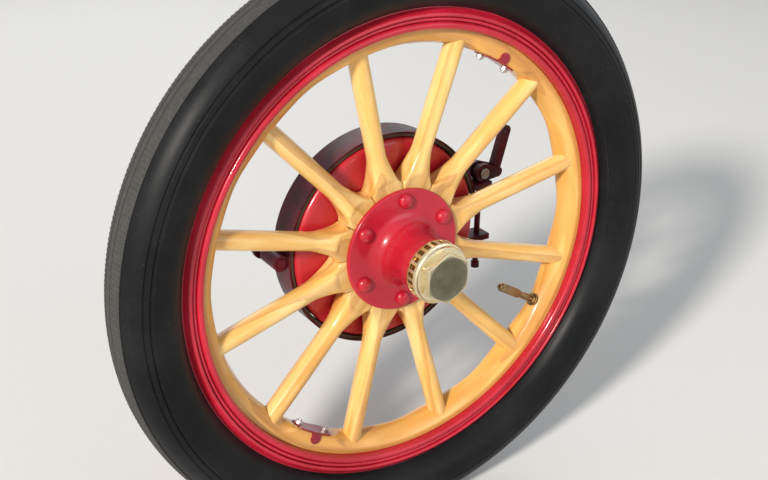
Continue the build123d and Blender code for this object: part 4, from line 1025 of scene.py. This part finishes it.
# Two nuts and their threads under a plate.
def plateNuts(jointAngle):
    surface = wheel["felloeInner"] - plates["standOff"]
    end = surface - plates["nutHeight"]
    hexagon = polygonOutline(6, plates["nutFlat"], plates["nutFlat"] * 1.1, 48)
    disc = polygonOutline(24, plates["threadRadius"], 10, 48)
    shapes = prismGrid(hexagon, end, surface + 0.6, 0.6), prismGrid(disc, end - plates["threadEnd"], end + 0.5, 0.5)
    return [underFelloe(shape, jointAngle + way * plates["boltOffset"]) for way in (-1, 1) for shape in shapes]


for label, node, turn in (("Upper", "felloe_plate_upper", 0), ("Lower", "felloe_plate_lower", 180)):
    jointAngle = wheel["felloeJointAngle"] + turn
    place(gridMesh("felloePlate" + label, plateGrid(jointAngle), 35), shadeDarkenedPlateEnamel, "red_enamel", node)
    place(joined("plateNuts" + label, plateNuts(jointAngle), 30), paleNut, "bare_steel")
print("felloe plates made")


# Axle end: brake gear, axle and spring seat, with softened edges

dressed = (
    # piece, node, edge softening in millimetres, material, slot, body
    ("brakeBand", "brake_band", 0.6, shadeDarkenedBrakePaint, "dark_red_paint", "axle_end"),
    ("bandLining", "band_lining", 0.3, wovenLining, "brake_lining", "axle_end"),
    ("brakeLever", "brake_lever", 1.0, shadeDarkenedBrakePaint, "dark_red_paint", "axle_end"),
    ("leverPin", "lever_pin", 0.6, bareSteel, "bare_steel", "axle_end"),
    ("bandAdjuster", "band_adjuster", 0.6, shadeDarkenedBrakePaint, "dark_red_paint", "axle_end"),
    ("brakeCarrier", "brake_carrier", 1.2, shadeDarkenedBrakePaint, "dark_red_paint", "axle_end"),
    ("springSeat", "spring_seat", 1.2, axlePaint, "dark_red_paint", "axle_end"),
    ("axleTube", "axle_tube", 0.8, axlePaint, "bare_steel", "axle_end"),
    ("driveShaft", "drive_shaft", 0.6, bareSteel, "bare_steel", "wheel"),
)
dressing = {"merge": 0.005 * mm, "flatAngle": 1.0, "sharp": 35.0}


# A dressed copy of a CAD node: its triangles merged into flat faces, with the edges softened.
def dressedCopy(name, node, bevel):
    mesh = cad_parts[node].data.copy()
    work = bmesh.new()
    work.from_mesh(mesh)
    bmesh.ops.remove_doubles(work, verts=work.verts, dist=dressing["merge"])
    bmesh.ops.dissolve_limit(work, angle_limit=radians(dressing["flatAngle"]), verts=work.verts, edges=work.edges)
    work.to_mesh(mesh)
    work.free()
    mesh.materials.clear()
    mesh.shade_smooth()
    mesh.set_sharp_from_angle(angle=radians(dressing["sharp"]))
    piece = newPiece(name, mesh)
    soft = piece.modifiers.new("softEdges", "BEVEL")
    soft.width = bevel * mm
    soft.segments = 2
    soft.limit_method = "ANGLE"
    soft.angle_limit = radians(dressing["sharp"])
    soft.harden_normals = True
    return piece


for name, node, bevel, material, slot, body in dressed:
    place(dressedCopy(name, node, bevel), material, slot, node, body=body)
print("axle end dressed")


# Floor and backdrop

stage = {"floorZ": -0.4393, "size": 14.0, "colour": (0.80, 0.79, 0.77, 1), "speckle": (0.66, 0.66, 0.66, 1)}


# A flat square floor, faintly speckled by noise.
def makeStage():
    mesh = bpy.data.meshes.new("floor")
    size, z = stage["size"], stage["floorZ"]
    mesh.from_pydata([(-size, -size, z), (size, -size, z), (size, size, z), (-size, size, z)], [], [(0, 1, 2, 3)])
    look = newMaterial("paleFloor", {"Roughness": 0.85, "Specular IOR Level": 0.2})
    tone = look.mix(look.times(look.noise(60, 4, 0.6), 0.12), stage["colour"], stage["speckle"])
    look.fill(look.main, {"Base Color": tone})
    mesh.materials.append(look.owner)
    newPiece("floor", mesh)


makeStage()


# Light and camera

lights = (
    # name, place, size, power in watts, colour, aimed at
    ("key", (-11.5, -6.72, 7.01), 1.77, 2700, (1.0, 0.965, 0.91), (0.0, -0.25, 0.0)),
    ("fill", (1.8, -3.9, 1.4), 2.6, 26, (0.92, 0.96, 1.0), (0.0, -0.25, 0.0)),
    ("rear", (1.0, 3.2, 2.2), 2.4, 30, (0.95, 0.97, 1.0), (0.0, -0.1, 0.0)),
)
# the sky lights the scene by its strength, and is seen and mirrored at its shown strength
sky = {"colour": (0.93, 0.96, 1.0, 1), "strength": 0.35, "shown": 0.95}
camera = {
    "place": (-0.877, -1.518, 0.724), "lens": 56.55, "shift": (0.0590, 0.0060), "clip": (0.05, 60),
    "right": (0.85666361, -0.51587543, 0.0), "up": (0.2165382, 0.3595837, 0.90764022),
    "back": (-0.46822929, -0.77754235, 0.41974901),
}


# Round lamps turned to face what they are aimed at, and a sky. Its strength is strength + seen * (shown -
# strength), where seen is 1 for what the camera, a mirror or a glass shows of it.
def makeLights():
    for name, origin, size, power, colour, target in lights:
        data = bpy.data.lights.new(name, "AREA")
        data.shape = "DISK"
        data.size = size
        data.energy = power
        data.color = colour
        lamp = newPiece(name, data)
        lamp.location = origin
        lamp.rotation_euler = (Vector(target) - Vector(origin)).to_track_quat("-Z", "Y").to_euler()
    world = Nodes(bpy.data.worlds.new("studio"), "Background", {"Color": sky["colour"]})
    rays = world.add("LightPath", {}, {})
    seen = world.maths("MAXIMUM", rays["Is Camera Ray"],
                       world.maths("MAXIMUM", rays["Is Glossy Ray"], rays["Is Transmission Ray"]))
    strength = world.timesPlus(seen, sky["shown"] - sky["strength"], sky["strength"])
    world.fill(world.main, {"Strength": strength})
    bpy.context.scene.world = world.owner


# The camera's turn has its right, up and back directions as columns.
def makeCamera():
    data = bpy.data.cameras.new("camera")
    data.lens = camera["lens"]
    data.sensor_width = 36.0
    data.shift_x, data.shift_y = camera["shift"]
    data.clip_start, data.clip_end = camera["clip"]
    shot = newPiece("camera", data)
    turned = Matrix((camera["right"], camera["up"], camera["back"])).transposed().to_4x4()
    shot.matrix_world = Matrix.Translation(camera["place"]) @ turned
    bpy.context.scene.camera = shot


makeLights()
makeCamera()
bpy.context.scene.view_settings.view_transform = "Standard"
print("stage, lights and camera made")
